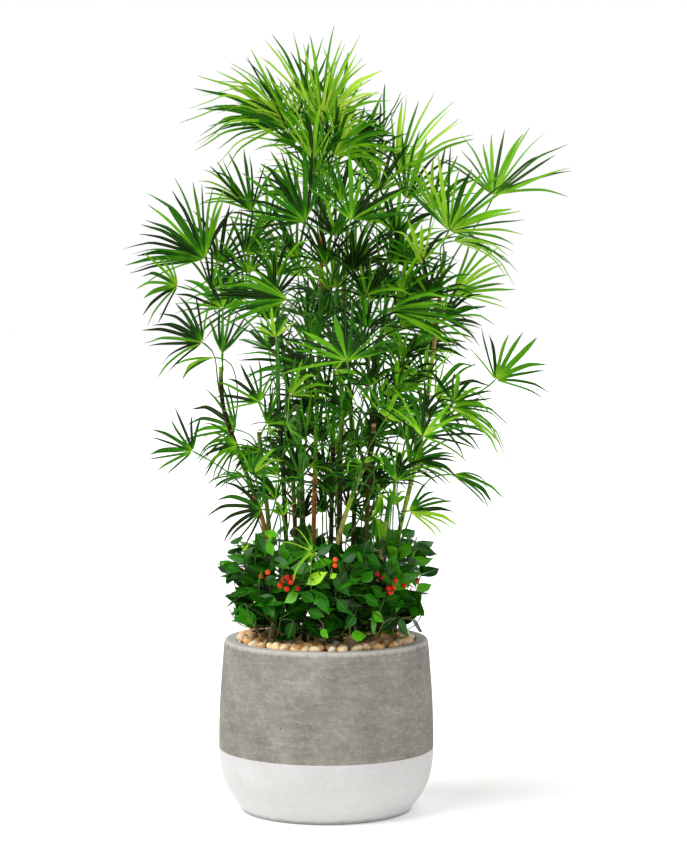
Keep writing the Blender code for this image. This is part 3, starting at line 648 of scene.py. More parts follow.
leafFields = (
    "cane", "seat", "x", "y", "z", "aim", "dip", "turn", "spread", "count", "length", "droop", "tone")
leafTable = [  # as in the CAD, in millimetres and degrees, with a tone from 0 dark to 1 bright: partly the leaf's own green, partly painted shade and light set per leaf
    (4, 1270, -74, -45, 1384, 155, 15, 15, 84, 11, 226, 0.45, 0.50),
    (4, 1285, -41, 45, 1437, 92, -25, 25, 105, 8, 158, 0.15, 0.55),
    (4, 1245, -8, -60, 1396, 55, 25, -15, 62, 8, 200, 0.20, 0.85),
    (8, 1165, 113, 120, 1373, 110, -50, 150, 130, 7, 140, 0.10, 0.05),
    (5, 1060, -242, -55, 1120, 130, 18, 0, 128, 15, 182, 0.25, 0.32),
    (6, 930, -292, -120, 1068, 165, 45, 10, 130, 8, 125, 0.35, 0.35),
    (4, 1140, -40, -110, 1195, 125, 30, 10, 120, 12, 192, 0.10, 0.14),
    (8, 1140, 50, -150, 1198, 72, 40, 0, 130, 10, 185, 0.12, 0.32),
    (4, 1220, 141, 60, 1287, 58, -20, -20, 72, 8, 212, 0.15, 0.70),
    (2, 1120, 244, -80, 1176, 60, 25, 0, 147, 13, 188, 0.15, 0.50),
    (2, 1095, 343, 110, 1248, 70, -25, 160, 130, 11, 205, 0.20, 0.36),
    (2, 1070, 253, -110, 1157, 0, 35, 65, 100, 6, 170, 0.60, 0.60),
    (1, 880, -204, -120, 1024, 92, 35, 0, 190, 12, 120, 0.20, 0.35),
    (1, 855, -243, -130, 957, 150, 25, 0, 135, 11, 135, 0.30, 0.25),
    (1, 895, -209, -40, 930, 80, -10, 20, 75, 6, 110, 0.10, 0.30),
    (1, 650, -265, -90, 738, 150, 15, 0, 150, 9, 102, 0.15, 0.30),
    (6, 790, -130, -120, 838, 125, 30, 0, 130, 9, 120, 0.20, 0.40),
    (7, 865, -29, 10, 901, 165, -25, 30, 75, 8, 165, 0.35, 0.15),
    (8, 840, 42, -235, 926, 100, 35, 0, 175, 14, 162, 0.15, 0.32),
    (4, 980, -74, -100, 1042, 168, 20, -15, 75, 11, 175, 0.20, 0.30),
    (2, 1020, 257, 60, 1049, 28, -20, 0, 90, 9, 148, 0.15, 0.60),
    (8, 960, 125, -110, 1019, 2, 25, 20, 62, 9, 205, 0.25, 0.36),
    (2, 800, 339, -60, 879, 55, 15, 0, 150, 9, 126, 0.20, 0.35),
    (2, 775, 253, -110, 837, 62, 45, 0, 115, 8, 118, 0.10, 0.40),
    (2, 750, 247, -160, 830, -5, 35, 40, 70, 7, 175, 0.70, 0.50),
    (2, 725, 189, -190, 775, 62, 35, 0, 160, 11, 145, 0.20, 0.36),
    (1, 715, -174, -120, 754, 188, 40, 0, 100, 8, 135, 0.80, 0.30),
    (6, 590, -126, -150, 628, 165, 30, 0, 170, 10, 125, 0.30, 0.08),
    (3, 500, -26, -190, 549, 210, 20, 0, 250, 12, 78, 0.30, 0.50),
    (2, 590, 165, -75, 617, 12, 30, 10, 95, 8, 122, 0.40, 0.50),
    (5, 1035, -170, 205, 1030, 150, -35, 0, 150, 10, 165, 0.35, 0.30),
    (10, 1050, 150, 220, 1120, 55, -40, 0, 150, 10, 165, 0.30, 0.40),
    (4, 1190, -20, 165, 1280, 100, -45, 0, 130, 10, 165, 0.25, 0.50),
    (9, 960, 30, 265, 1000, 95, -55, 0, 150, 10, 165, 0.40, 0.30),
    (10, 880, 225, 190, 830, 20, -30, 0, 140, 9, 150, 0.45, 0.40),
    (13, 730, -190, 200, 760, 165, -35, 0, 150, 9, 150, 0.45, 0.30),
]
# smaller leaves that the CAD leaves out: hub, aim, dip, turn, spread, count, length, droop, tone; the tone is
# partly painted shade, darkest for fans deep inside
smallLeafTable = [
    (-167, 60, 1235, 150, 10, 20, 70, 7, 112, 0.2, 0.5), (252, -80, 691, -12, 15, 30, 60, 5, 125, 0.6, 0.5),
    (-98, -70, 656, 155, 15, 20, 70, 6, 95, 0.3, 0.35), (103, -60, 603, 270, 20, 0, 100, 7, 61, 0.3, 0.4),
    (-8, 70, 596, 95, 10, 0, 100, 6, 81, 0.2, 0.3), (162, 60, 937, 8, -10, 30, 55, 7, 130, 0.3, 0.4),
    (-99, -100, 965, 100, 20, 0, 120, 8, 75, 0.2, 0.62), (17, -110, 901, 20, 25, 0, 200, 8, 122, 0.5, 0.45),
    (120, -130, 808, 60, 30, 0, 150, 9, 102, 0.3, 0.55), (49, -20, 809, 150, 10, 0, 140, 9, 110, 0.25, 0.15),
    (-15, 60, 826, 165, 5, 0, 110, 10, 126, 0.3, 0.35), (-128, -60, 735, 185, 20, 0, 90, 8, 80, 0.3, 0.4),
    (139, -30, 1031, 25, 5, 0, 100, 10, 162, 0.3, 0.5), (-37, 40, 980, 60, -10, 0, 120, 9, 122, 0.2, 0.3),
    (95, 60, 1035, 70, -10, 0, 110, 8, 110, 0.2, 0.15), (75, -60, 704, 180, 10, 0, 70, 8, 61, 0.3, 0.35),
    (-2, 90, 676, 95, 10, 0, 110, 8, 90, 0.2, 0.35), (160, 0, 751, 80, 0, 0, 120, 8, 95, 0.3, 0.4),
    (110, -80, 656, 265, 15, 0, 40, 5, 60, 0.5, 0.6), (-221, -90, 926, 190, 15, 0, 25, 3, 95, 0.6, 0.5),
    # behind, where the photograph doesn't show
    (-120, 150, 1180, 120, -40, 0, 130, 9, 150, 0.3, 0.4), (90, 180, 1190, 70, -40, 0, 130, 9, 150, 0.3, 0.5),
    (-60, 220, 1080, 100, -55, 0, 140, 9, 150, 0.35, 0.35),
    (120, 120, 960, 40, -30, 0, 130, 9, 130, 0.3, 0.3),
    (-120, 150, 930, 100, -40, 0, 120, 9, 90, 0.3, 0.3), (-40, 190, 860, 110, -50, 0, 140, 9, 140, 0.4, 0.25),
    (90, 240, 900, 80, -55, 0, 140, 9, 140, 0.4, 0.4), (0, 120, 1000, 90, -30, 0, 130, 9, 130, 0.3, 0.2),
    (190, 130, 960, 20, -30, 0, 120, 8, 130, 0.35, 0.4), (-90, 230, 700, 140, -45, 0, 140, 9, 130, 0.45, 0.3),
    (60, 250, 720, 70, -50, 0, 140, 9, 130, 0.45, 0.35), (170, 170, 690, 30, -35, 0, 130, 8, 120, 0.45, 0.3),
    (-10, 110, 740, 95, -20, 0, 130, 8, 110, 0.3, 0.15), (100, 60, 760, 60, -10, 0, 130, 8, 110, 0.3, 0.2),
    (-60, 60, 1120, 120, 0, 0, 120, 9, 130, 0.25, 0.3), (60, 40, 1110, 60, 0, 0, 120, 9, 130, 0.25, 0.35),
    (20, -30, 1060, 90, 20, 0, 130, 9, 120, 0.2, 0.45), (230, 100, 780, 10, -30, 0, 120, 8, 120, 0.45, 0.35),
    (-60, -80, 1345, 130, 20, 10, 100, 8, 125, 0.25, 0.4),
    (-25, -90, 1318, 90, 25, 0, 110, 9, 140, 0.3, 0.42),
    (15, -80, 1325, 55, 25, 0, 110, 9, 160, 0.45, 0.45), (-80, -60, 1385, 166, 10, 0, 40, 4, 185, 0.4, 0.4),
    (50, -60, 1350, 340, 15, 0, 80, 7, 130, 0.6, 0.35), (-20, -40, 1290, 80, 15, 0, 120, 9, 140, 0.35, 0.3),
    # the crown's dense middle, from the top down
    (-90, -30, 1390, 125, 20, 10, 100, 9, 125, 0.35, 0.4), (-40, -10, 1385, 80, 15, 0, 90, 8, 140, 0.2, 0.3),
    (20, -20, 1370, 60, 20, -10, 100, 9, 130, 0.25, 0.5), (70, 30, 1300, 75, -10, 10, 110, 9, 150, 0.3, 0.3),
    (105, -20, 1255, 80, 25, 0, 120, 9, 150, 0.25, 0.5), (160, 30, 1240, 65, 10, 0, 110, 9, 150, 0.3, 0.35),
    (215, 20, 1215, 80, 10, -10, 110, 8, 140, 0.3, 0.55),
    (30, -60, 1235, 100, 30, 0, 120, 9, 140, 0.25, 0.35),
    (-60, -30, 1245, 130, 15, 0, 100, 8, 110, 0.3, 0.4),
    (-150, 10, 1215, 110, 10, 10, 100, 8, 140, 0.3, 0.35),
    (-215, -20, 1110, 75, 10, 0, 120, 9, 130, 0.3, 0.4), (-155, -40, 1090, 95, 20, 0, 120, 9, 130, 0.3, 0.25),
    (-100, -70, 1085, 80, 25, 0, 120, 9, 130, 0.3, 0.45), (0, -50, 1110, 100, 25, 0, 120, 9, 120, 0.3, 0.2),
    (130, -30, 1110, 60, 20, 0, 120, 9, 130, 0.3, 0.3), (190, -60, 1110, 110, 25, 0, 120, 9, 130, 0.3, 0.55),
    (85, -70, 1040, 95, 30, 0, 120, 9, 120, 0.3, 0.25), (200, -30, 1050, 150, 20, 0, 120, 8, 120, 0.4, 0.35),
    (150, -60, 985, 45, 25, 0, 120, 9, 130, 0.35, 0.4), (75, -90, 950, 120, 30, 0, 120, 9, 120, 0.3, 0.3),
    (-30, -60, 955, 75, 25, 0, 110, 8, 85, 0.3, 0.35), (150, -90, 890, 70, 35, 0, 130, 10, 120, 0.3, 0.25),
    (195, -90, 880, 110, 35, 0, 130, 9, 120, 0.35, 0.45), (110, -110, 850, 40, 30, 0, 120, 9, 120, 0.4, 0.35),
    (-70, -90, 850, 50, 30, 0, 120, 9, 110, 0.35, 0.45), (-120, -60, 790, 45, 25, 0, 120, 9, 100, 0.35, 0.3),
    (-150, -80, 690, 60, 30, 0, 120, 9, 100, 0.35, 0.45), (-60, 50, 744, 100, 15, 0, 130, 9, 100, 0.35, 0.3),
    (16, 60, 722, 70, 15, 0, 130, 9, 110, 0.35, 0.4), (80, 60, 744, 45, 15, 0, 120, 9, 110, 0.35, 0.25),
    (140, -90, 690, 75, 30, 0, 130, 10, 110, 0.35, 0.35), (175, -100, 720, 30, 25, 0, 120, 9, 110, 0.4, 0.3),
    (110, 80, 642, 100, 15, 0, 130, 9, 90, 0.35, 0.45), (135, -60, 625, 85, 25, 0, 90, 6, 60, 0.35, 0.5),
    (-85, -110, 610, 105, 35, 0, 90, 6, 60, 0.35, 0.5), (44, 90, 604, 60, 15, 0, 120, 8, 80, 0.35, 0.3),
    (-24, 70, 764, 130, 10, 0, 120, 9, 100, 0.35, 0.35),
    # the bright top, all round its hubs
    (-10, -70, 1388, 95, 15, 0, 170, 13, 118, 0.15, 0.66), (-55, -50, 1385, 130, 10, 0, 90, 9, 112, 0.2, 0.5),
    (-25, -90, 1350, 125, 20, 0, 100, 9, 105, 0.25, 0.5), (25, -90, 1345, 60, 25, 0, 120, 10, 115, 0.35, 0.6),
    (60, -20, 1365, 35, 5, 0, 80, 7, 80, 0.35, 0.25), (-80, 0, 1390, 155, 0, 10, 50, 5, 150, 0.3, 0.3),
    (-8, -70, 1402, 100, 12, 0, 90, 7, 186, 0.05, 0.5), (22, 0, 1408, 100, 5, 0, 60, 3, 150, 0.08, 0.55),
    (-76, -50, 1394, 128, 12, 0, 44, 4, 180, 0.15, 0.4),
    (0, -40, 1330, 120, 10, 0, 120, 9, 120, 0.3, 0.1), (45, 10, 1320, 45, 0, 0, 120, 9, 120, 0.35, 0.35),
    # gaps between the big fans, from the top down
    (18, -70, 1165, 90, 20, 0, 130, 10, 120, 0.3, 0.3), (140, -40, 1170, 85, 20, 0, 120, 10, 125, 0.3, 0.35),
    (55, -60, 1095, 80, 25, 0, 130, 10, 120, 0.3, 0.15), (-160, -60, 1130, 60, 20, 0, 110, 9, 120, 0.3, 0.3),
    (-230, -30, 1060, 70, 10, 0, 110, 9, 110, 0.3, 0.3),
    (-104, -90, 1040, 100, 25, 0, 130, 10, 120, 0.3, 0.15),
    (80, -90, 1050, 60, 30, 0, 130, 10, 120, 0.3, 0.3),
    (150, -80, 1055, 100, 30, 0, 130, 10, 120, 0.3, 0.42),
    (205, -60, 1045, 70, 25, 0, 130, 10, 120, 0.3, 0.3),
    (80, -120, 985, 80, 35, 0, 140, 10, 120, 0.3, 0.15), (-105, -90, 1000, 110, 30, 0, 110, 8, 90, 0.3, 0.25),
    (235, -50, 1000, 30, 20, 0, 110, 9, 110, 0.4, 0.4), (150, -110, 925, 80, 35, 0, 130, 10, 110, 0.35, 0.3),
    (90, -130, 870, 100, 35, 0, 130, 10, 110, 0.35, 0.15),
    (140, -130, 865, 60, 35, 0, 130, 10, 110, 0.35, 0.35),
    (190, -110, 805, 80, 30, 0, 130, 10, 110, 0.35, 0.32),
    (145, -90, 800, 110, 30, 0, 120, 9, 100, 0.35, 0.15),
    (-58, 60, 684, 90, 10, 0, 130, 10, 95, 0.35, 0.3), (140, -100, 680, 70, 30, 0, 130, 10, 95, 0.35, 0.25),
    (-100, -100, 640, 110, 30, 0, 100, 7, 70, 0.35, 0.3),
    (20, 110, 626, 100, 10, 0, 130, 10, 90, 0.35, 0.4), (80, 90, 624, 70, 10, 0, 130, 10, 90, 0.35, 0.25),
    (85, 100, 574, 95, 10, 0, 130, 9, 80, 0.35, 0.3),
    (-50, 90, 582, 95, 10, 0, 120, 9, 80, 0.3, 0.2),
    (20, 40, 640, 80, 0, 0, 130, 9, 110, 0.3, 0.1), (-60, 60, 660, 110, -10, 0, 130, 9, 110, 0.3, 0.15),
    (90, 60, 660, 60, -10, 0, 130, 9, 110, 0.3, 0.1), (0, 60, 840, 100, -10, 0, 130, 9, 120, 0.3, 0.1),
]
leaf = {
    "hubShifts": (0, 12, -12, 24, -24, 36, -36, 50, -50, 65, -65), "rolls": (0, 8, -8, 16, -16, 24, -24),
    "seatOffset": 0.00045, "stub": 0.005, "steps": 4, "lean": 0.6, "lowPull": 0.4, "topPull": 0.35,
    "palmRadius": 0.032, "webRadius": 0.046, "cup": 0.08, "outerShorter": 0.9, "middleDroop": 0.35,
    "tipDroop": 1.3,
    # what grows here: more leaflets than in the CAD, some broad, each with a lift out of the fan's plane
    "long": 0.16, "fullLong": 1.42, "fullShort": 1.12, "wheel": 200, "wheelSlim": 0.75,
    "jitter": 0.13, "reaches": (0.8, 1.05), "droops": (0.5, 1.6), "tones": (-0.3, 0.36), "webShare": 0.35,
    "leafletHalf": 0.0037, "slimShare": 0.72, "longShare": 0.28, "usualLong": 0.18, "mostLong": 1.2,
    "widths": (0.68, 1.2), "taper": (1, 1, 0.9, 0.6, 0.12), "webHalf": 1.2, "stalkEnd": 0.007,
    "strapShare": 0.16, "strapWidth": 1.5, "crownFrom": 1.2, "crownBlend": 0.15, "topSlim": 0.86,
    "topLight": 0.08, "wild": 0.2, "hubStart": 0.004, "twist": 0.9, "tilt": 0.3, "sway": 0.006,
    "stalkReach": 0.15, "stalkHalf": (0.0034, 0.0030, 0.0021, 0.0016, 0.0014, 0.0014, 0.0018, 0.0009),
    "dryFrom": (0.84, 0.9, 0.95, 1.1), "lowestSeat": 0.42, "belowTop": 0.012,
    # fans that fill the inside of the crown: spacing up a cane, turn to the next, stalk's reach, blade
    "innerFrom": 0.60, "innerStep": 0.085, "innerTurn": 137.5, "innerReach": 0.105, "innerLength": 135,
    "sideShorter": 0.42, "sideFrom": 0.66, "sideStep": 0.12, "sideLength": 140, "deepest": 0.335,
    "innerCount": 8, "bladeMiddle": 0.06,
    # where the photograph lets the light through, in millimetres: x, z, how far round
    "gaps": ((-75, 903, 62), (-190, 975, 55), (-170, 870, 55), (-225, 782, 60), (-164, 610, 50),
             (200, 610, 50), (-40, 600, 40), (262, 960, 45), (262, 1170, 50), (18, 790, 40), (85, 850, 30)),
    "bladeSteps": 14, "stemSteps": 14, "fold": 0.42, "thickness": 0.12,
}


def bladeFrame(row, roll):
    aim, dip = math.radians(row["aim"]), math.radians(row["dip"])
    axis = Vector((math.cos(aim) * math.cos(dip), -math.sin(dip), math.sin(aim) * math.cos(dip)))
    normal = square(viewer, axis)
    normal = Matrix.Rotation(math.radians(row["turn"] + roll), 3, axis) @ normal
    return axis, normal.cross(axis), normal


def petiole(hub, axis, spot):  # square off the cane, then a curve to the hub
    centre, radius, along = spot
    out = square(hub - centre, along)
    seat = centre + out * (radius + leaf["seatOffset"])
    stub = seat + out * leaf["stub"]
    length = (hub - stub).length
    low = stub + (out * leaf["lean"] + up).normalized() * length * leaf["lowPull"]
    high = hub - axis * length * leaf["topPull"]
    line = [seat]
    for k in range(leaf["steps"] + 1):
        t = k / leaf["steps"]
        line.append(stub * (1 - t) ** 3 + hub * t**3 + (low * (1 - t) + high * t) * 3 * t * (1 - t))
    return line


def leafSkeleton(row, number, spot, shift, roll, blade=None):
    blade = blade or bladeFrame(row, roll)
    axis, side, normal = blade
    hub = mm(row["x"], row["y"] + shift, row["z"])
    draw = random.Random(number)
    leaflets, count = [], row["count"]
    for i in range(count):
        part = (i + 0.5) / count - 0.5
        turn = math.radians(row["spread"]) * part
        way = (axis * math.cos(turn) + side * math.sin(turn) + normal * leaf["cup"]).normalized()
        length = row["length"] / 1000 * (1 - leaf["outerShorter"] * part**2) * draw.uniform(0.9, 1.05)
        droop = row["droop"] * draw.uniform(0.7, 1.4)
        root = hub + way * leaf["palmRadius"]
        half = (length - leaf["palmRadius"]) / 2
        middle = root + (way - up * droop * leaf["middleDroop"]).normalized() * half
        tip = middle + (way - up * droop * leaf["tipDroop"]).normalized() * half
        leaflets += [root, middle, tip]
    return {"petiole": petiole(hub, axis, spot), "leaflets": leaflets, "blade": blade, "hub": hub}


def boxMiss(points, low, high):  # how far the points' box is from a given one
    miss = 0
    for k in range(3):
        values = [p[k] for p in points]
        miss += abs(min(values) - low[k]) + abs(max(values) - high[k])
    return miss


def placedSkeleton(row, number, spot, node):  # the CAD may have moved the hub and rolled the blade a little
    low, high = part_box(node)
    best = None
    for shift in leaf["hubShifts"]:
        for roll in leaf["rolls"]:
            bones = leafSkeleton(row, number, spot, shift, roll)
            points = bones["petiole"] + bones["leaflets"]
            miss = boxMiss(points, low, high)
            if best is None or miss < best[0] - 1e-5:
                best = (miss, shift, roll)
    return best[1:]


def leafStrands(row, number, spot, shift=0, roll=0, blade=None):
    bones = leafSkeleton(row, number, spot, shift, roll, blade)
    draw = random.Random(2000 + number)
    hub, (axis, side, normal) = bones["hub"], bones["blade"]
    tone, length, spread = row["tone"], row["length"] / 1000, math.radians(row["spread"])
    wheel = row["spread"] > leaf["wheel"]  # a blade that goes more than half round
    full = 1.0 if wheel else leaf["fullLong"] if length > leaf["long"] else leaf["fullShort"]
    count = round(row["count"] * full)
    halfStep = math.tan(spread / count / 2)
    longer = min(length / leaf["usualLong"], leaf["mostLong"])
    wide = leaf["leafletHalf"] * (leaf["slimShare"] + leaf["longShare"] * longer)
    # the top has young leaves: slimmer and fresher
    high = min(max((hub.z - leaf["crownFrom"]) / leaf["crownBlend"], 0), 1)
    wide *= 1 - (1 - leaf["topSlim"]) * high
    tone += leaf["topLight"] * high
    stalk = [spot[0]] + bones["petiole"] + [hub + axis * leaf["stalkEnd"]]
    strands = [strand(stalk, leaf["stalkHalf"], tone, rounds=1.0)]
    for i in range(count):
        part = (i + 0.5 + draw.uniform(-leaf["jitter"], leaf["jitter"])) / count - 0.5
        turn = spread * part
        way = (axis * math.cos(turn) + side * math.sin(turn) + normal * leaf["cup"]).normalized()
        across = normal.cross(way).normalized()
        reach = length * (1 - leaf["outerShorter"] * part**2) * draw.uniform(*leaf["reaches"])
        web = min(leaf["webRadius"], reach * leaf["webShare"])
        half = (reach - web) / 2
        droop = row["droop"] * draw.uniform(*leaf["droops"])
        lift = normal * draw.uniform(-1, 1) * leaf["wild"]
        root = hub + way * web
        middle = root + (way + lift - up * droop * leaf["middleDroop"]).normalized() * half
        tip = middle + (way + lift * 0.5 - up * droop * leaf["tipDroop"]).normalized() * half
        sway = across * draw.uniform(-1, 1) * leaf["sway"]
        far = middle.lerp(tip, 0.55) + up * draw.uniform(0, 0.002)
        points = [hub + way * leaf["hubStart"], root, middle + sway * 0.4, far + sway, tip + sway * 1.8]
        tilt, twist = draw.uniform(-1, 1) * leaf["tilt"], draw.uniform(-1, 1) * leaf["twist"]
        turned = [Matrix.Rotation(a, 3, way) @ across for a in (
            0, tilt * 0.5, tilt + twist * 0.4, tilt + twist * 0.7, tilt + twist)]
        own = wide * draw.uniform(*leaf["widths"]) * (1.12 - 0.9 * abs(part))
        own *= leaf["wheelSlim"] if wheel else 1.0
        if draw.random() < leaf["strapShare"]:
            own *= leaf["strapWidth"]
        strands.append(strand(
            points, [own * share for share in leaf["taper"]], tone + draw.uniform(*leaf["tones"]), turned,
            [(p - hub).length * halfStep * leaf["webHalf"] for p in points],
            dryFrom=draw.choice(leaf["dryFrom"])))
    return strands


def keepsGaps(point):
    return all(math.hypot(point.x * 1000 - x, point.z * 1000 - z) > far for x, z, far in leaf["gaps"])


def innerFan(index, spot, hub, axis, face, spread, length, droop, tone):  # a row as in the tables
    face = square(face, axis)
    row = {"x": hub.x * 1000, "y": hub.y * 1000, "z": hub.z * 1000, "spread": spread,
           "count": leaf["innerCount"], "length": length, "droop": droop, "tone": tone}
    return index, row, spot, (axis, face.cross(axis), face)


def innerFans():  # leaves all round the inner canes, faces up and out, as the plant grows them
    fans = []
    for index, line in enumerate(caneLines[2:], 2):  # the two leaning canes stand clear in the photograph
        draw = random.Random(700 + index)
        height, turn = leaf["innerFrom"] + draw.uniform(0, 0.06), draw.uniform(0, 360)
        while height < line[-1].z - 0.015:
            spot, out = caneSpot(line, height), outwards(turn)
            short = 1 - leaf["sideShorter"] * abs(out.x)  # less to the sides, where the photograph shows gaps
            reach = leaf["innerReach"] * short * draw.uniform(0.7, 1.15)
            hub = spot[0] + out * reach + up * draw.uniform(0.04, 0.075)
            axis = (out + up * draw.uniform(-0.1, 0.5)).normalized()
            # painted shade: the fans inside the crown get a darker tone, 0.12 to 0.46
            fan = innerFan(index, spot, hub, axis, up + out * 0.4 + viewer * 0.25, draw.uniform(120, 160),
                           leaf["innerLength"] * short * draw.uniform(0.8, 1.15), draw.uniform(0.35, 0.6),
                           draw.uniform(0.12, 0.46))
            if keepsGaps(hub + axis * leaf["bladeMiddle"]):
                fans.append(fan)
            height += leaf["innerStep"] * draw.uniform(0.8, 1.2)
            turn += leaf["innerTurn"]
        # leaves turned to the sides, which fill the plant when it is walked round
        height, way = leaf["sideFrom"] + draw.uniform(0, 0.1), draw.choice((-1, 1))
        while height < line[-1].z:
            spot = caneSpot(line, height)
            out = Vector((draw.uniform(-0.3, 0.3), way, 0)).normalized()
            hub = spot[0] + out * draw.uniform(0.06, 0.11) + up * draw.uniform(0.05, 0.09)
            axis = (out + up * draw.uniform(0.0, 0.9)).normalized()
            face = Vector((draw.choice((-1, 1)), -0.45, 0.4))
            length = leaf["sideLength"] * draw.uniform(0.85, 1.15)
            deep = abs(hub.y) + length / 1000 * abs(axis.y)
            if deep < leaf["deepest"] and keepsGaps(hub + axis * leaf["bladeMiddle"]):
                fans.append(innerFan(index, spot, hub, axis, face, draw.uniform(110, 140), length,
                                     draw.uniform(0.2, 0.4), draw.uniform(0.2, 0.5)))
            height += leaf["sideStep"] * draw.uniform(0.8, 1.2)
            way = -way
    return fans


def palmBladeMaterial():
    # living palm leaflet: folded blade with fine lengthwise ribs under a thin wax, satin, glows a little
    look = {"ribs": 5.0, "cloud": 18.0}
    material, add, shader, place, tone, along, edge, under, dryFrom = startMaterial(
        "living_palm_leaflet", "tone", "along", "edge", "underside", "dryFrom")
    cloud = add("TexNoise", {"Vector": place, "Scale": look["cloud"], "Detail": 3.0})
    fresh = add("Math", [cloud, 0.36, tone], operation="MULTIPLY_ADD")
    nearHub = add("MapRange", [along, 0.0, 0.18, 0.16, -0.18])
    fresh = add("Math", [fresh, nearHub], operation="ADD")
    green = add("ValToRGB", [fresh], [
        (0.0, "#041A00"), (0.24, "#0A3600"), (0.46, "#308403"), (0.7, "#82CE18"), (1.0, "#C8F04C")])
    ribs = add("Math", [edge, look["ribs"] * math.pi], operation="MULTIPLY")
    ribs = add("Math", [ribs], operation="COSINE")
    ribShade = add("MapRange", [ribs, -1.0, 1.0, 0.86, 1.08])
    color = add("Mix", {0: 1.0, 6: green, 7: ribShade}, data_type="RGBA", blend_type="MULTIPLY")
    # a paler underside and midrib, and a dry tip
    pale = add("Math", [under, 0.2], operation="MULTIPLY")
    midrib = add("MapRange", [add("Math", [edge], operation="ABSOLUTE"), 0.04, 0.16, 0.35, 0.0])
    dry = add("MapRange", [add("Math", [along, dryFrom], operation="SUBTRACT"), 0.0, 0.05, 0.0, 0.85])
    for share, tint in ((pale, "#5F9430"), (midrib, "#7FB03A"), (dry, "#7D7A5E")):
        color = add("Mix", {0: share, 6: color, 7: tint}, data_type="RGBA")
    rough = add("MapRange", [cloud, 0.3, 0.7, 0.42, 0.6])
    bump = add("Bump", {"Strength": 0.35, "Distance": 0.0004, "Height": ribs})
    feed(shader, {"Base Color": color, "Roughness": rough, "Specular IOR Level": 0.13, "Normal": bump})
    glow = add("BsdfTranslucent", {"Color": add("Mix", {0: 0.35, 6: color, 7: "#84C818"}, data_type="RGBA")})
    feed(material.node_tree.nodes["Material Output"], {"Surface": add("MixShader", [0.2, shader, glow])})
    return material


def petioleMaterial():
    # palm leaf stalk: smooth green rind, fibrous brown where it clasps the cane, yellow-green at the hub
    material, add, shader, place, along, tone = startMaterial("palm_leaf_stalk_rind", "along", "tone")
    streak = add("TexNoise", {"Vector": place, "Scale": 160.0, "Detail": 3.0})
    color = add("ValToRGB", [along], [
        (0.0, "#4A3218"), (0.16, "#66682A"), (0.3, "#2F6F14"), (0.85, "#4B8F1C"), (1.0, "#A8963C")])
    light = add("MapRange", [tone, 0, 1, 0.55, 1.4])
    fleck = add("MapRange", [streak, 0.35, 0.65, 0.8, 1.15])
    for shade in (light, fleck):
        color = add("Mix", {0: 1.0, 6: color, 7: shade}, data_type="RGBA", blend_type="MULTIPLY")
    rough = add("MapRange", [streak, 0, 1, 0.35, 0.55])
    bump = add("Bump", {"Strength": 0.3, "Distance": 0.0004, "Height": streak})
    feed(shader, {"Base Color": color, "Roughness": rough, "Specular IOR Level": 0.15, "Normal": bump})
    return material


def makePalmLeaves():
    values = {
        "Blade Steps": leaf["bladeSteps"], "Stem Steps": leaf["stemSteps"], "Blade Sides": 6, "Stem Sides": 8,
        "Fold": leaf["fold"], "Thickness": leaf["thickness"],
        "Blade Skin": palmBladeMaterial(), "Stem Skin": petioleMaterial(),
    }
    for number, entries in enumerate(leafTable, 1):
        row = dict(zip(leafFields, entries))
        spot = caneSpot(caneLines[row["cane"] - 1], row["seat"] / 1000)
        shift, roll = placedSkeleton(row, number, spot, f"palm_leaf_{number:02d}")
        guide = guideMesh(f"fan{number:02d}", leafStrands(row, number, spot, shift, roll))
        item = grown(f"fan_{number:02d}", guide, growStrands, values)
        finishPiece(item, "palm_leaf", f"palm_leaf_{number:02d}")
    groups = {}
    for number, entries in enumerate(smallLeafTable, 101):
        row = dict(zip(leafFields[2:], entries))
        hub = mm(row["x"], row["y"], row["z"])
        best = None
        for index, line in enumerate(caneLines):  # the nearest cane that reaches high enough carries it
            top = line[-1].z - leaf["belowTop"]
            height = min(max(hub.z - leaf["stalkReach"], leaf["lowestSeat"]), top)
            spot = caneSpot(line, height)
            away = (spot[0] - hub).length + max(hub.z - top - 0.06, 0) * 2
            if best is None or away < best[0]:
                best = (away, index, spot)
        groups.setdefault(best[1], []).extend(leafStrands(row, number, best[2]))
    for number, (index, row, spot, blade) in enumerate(innerFans(), 301):
        groups.setdefault(index, []).extend(leafStrands(row, number, spot, blade=blade))
    for index, strands in sorted(groups.items()):
        name = f"small_fans_{index + 1:02d}"
        finishPiece(grown(name, guideMesh(name, strands), growStrands, values), "palm_leaf")


makePalmLeaves()
print("palm leaves grown")


# Berry shrubs: a skirt of glossy leaves round the canes, over the pot's rim

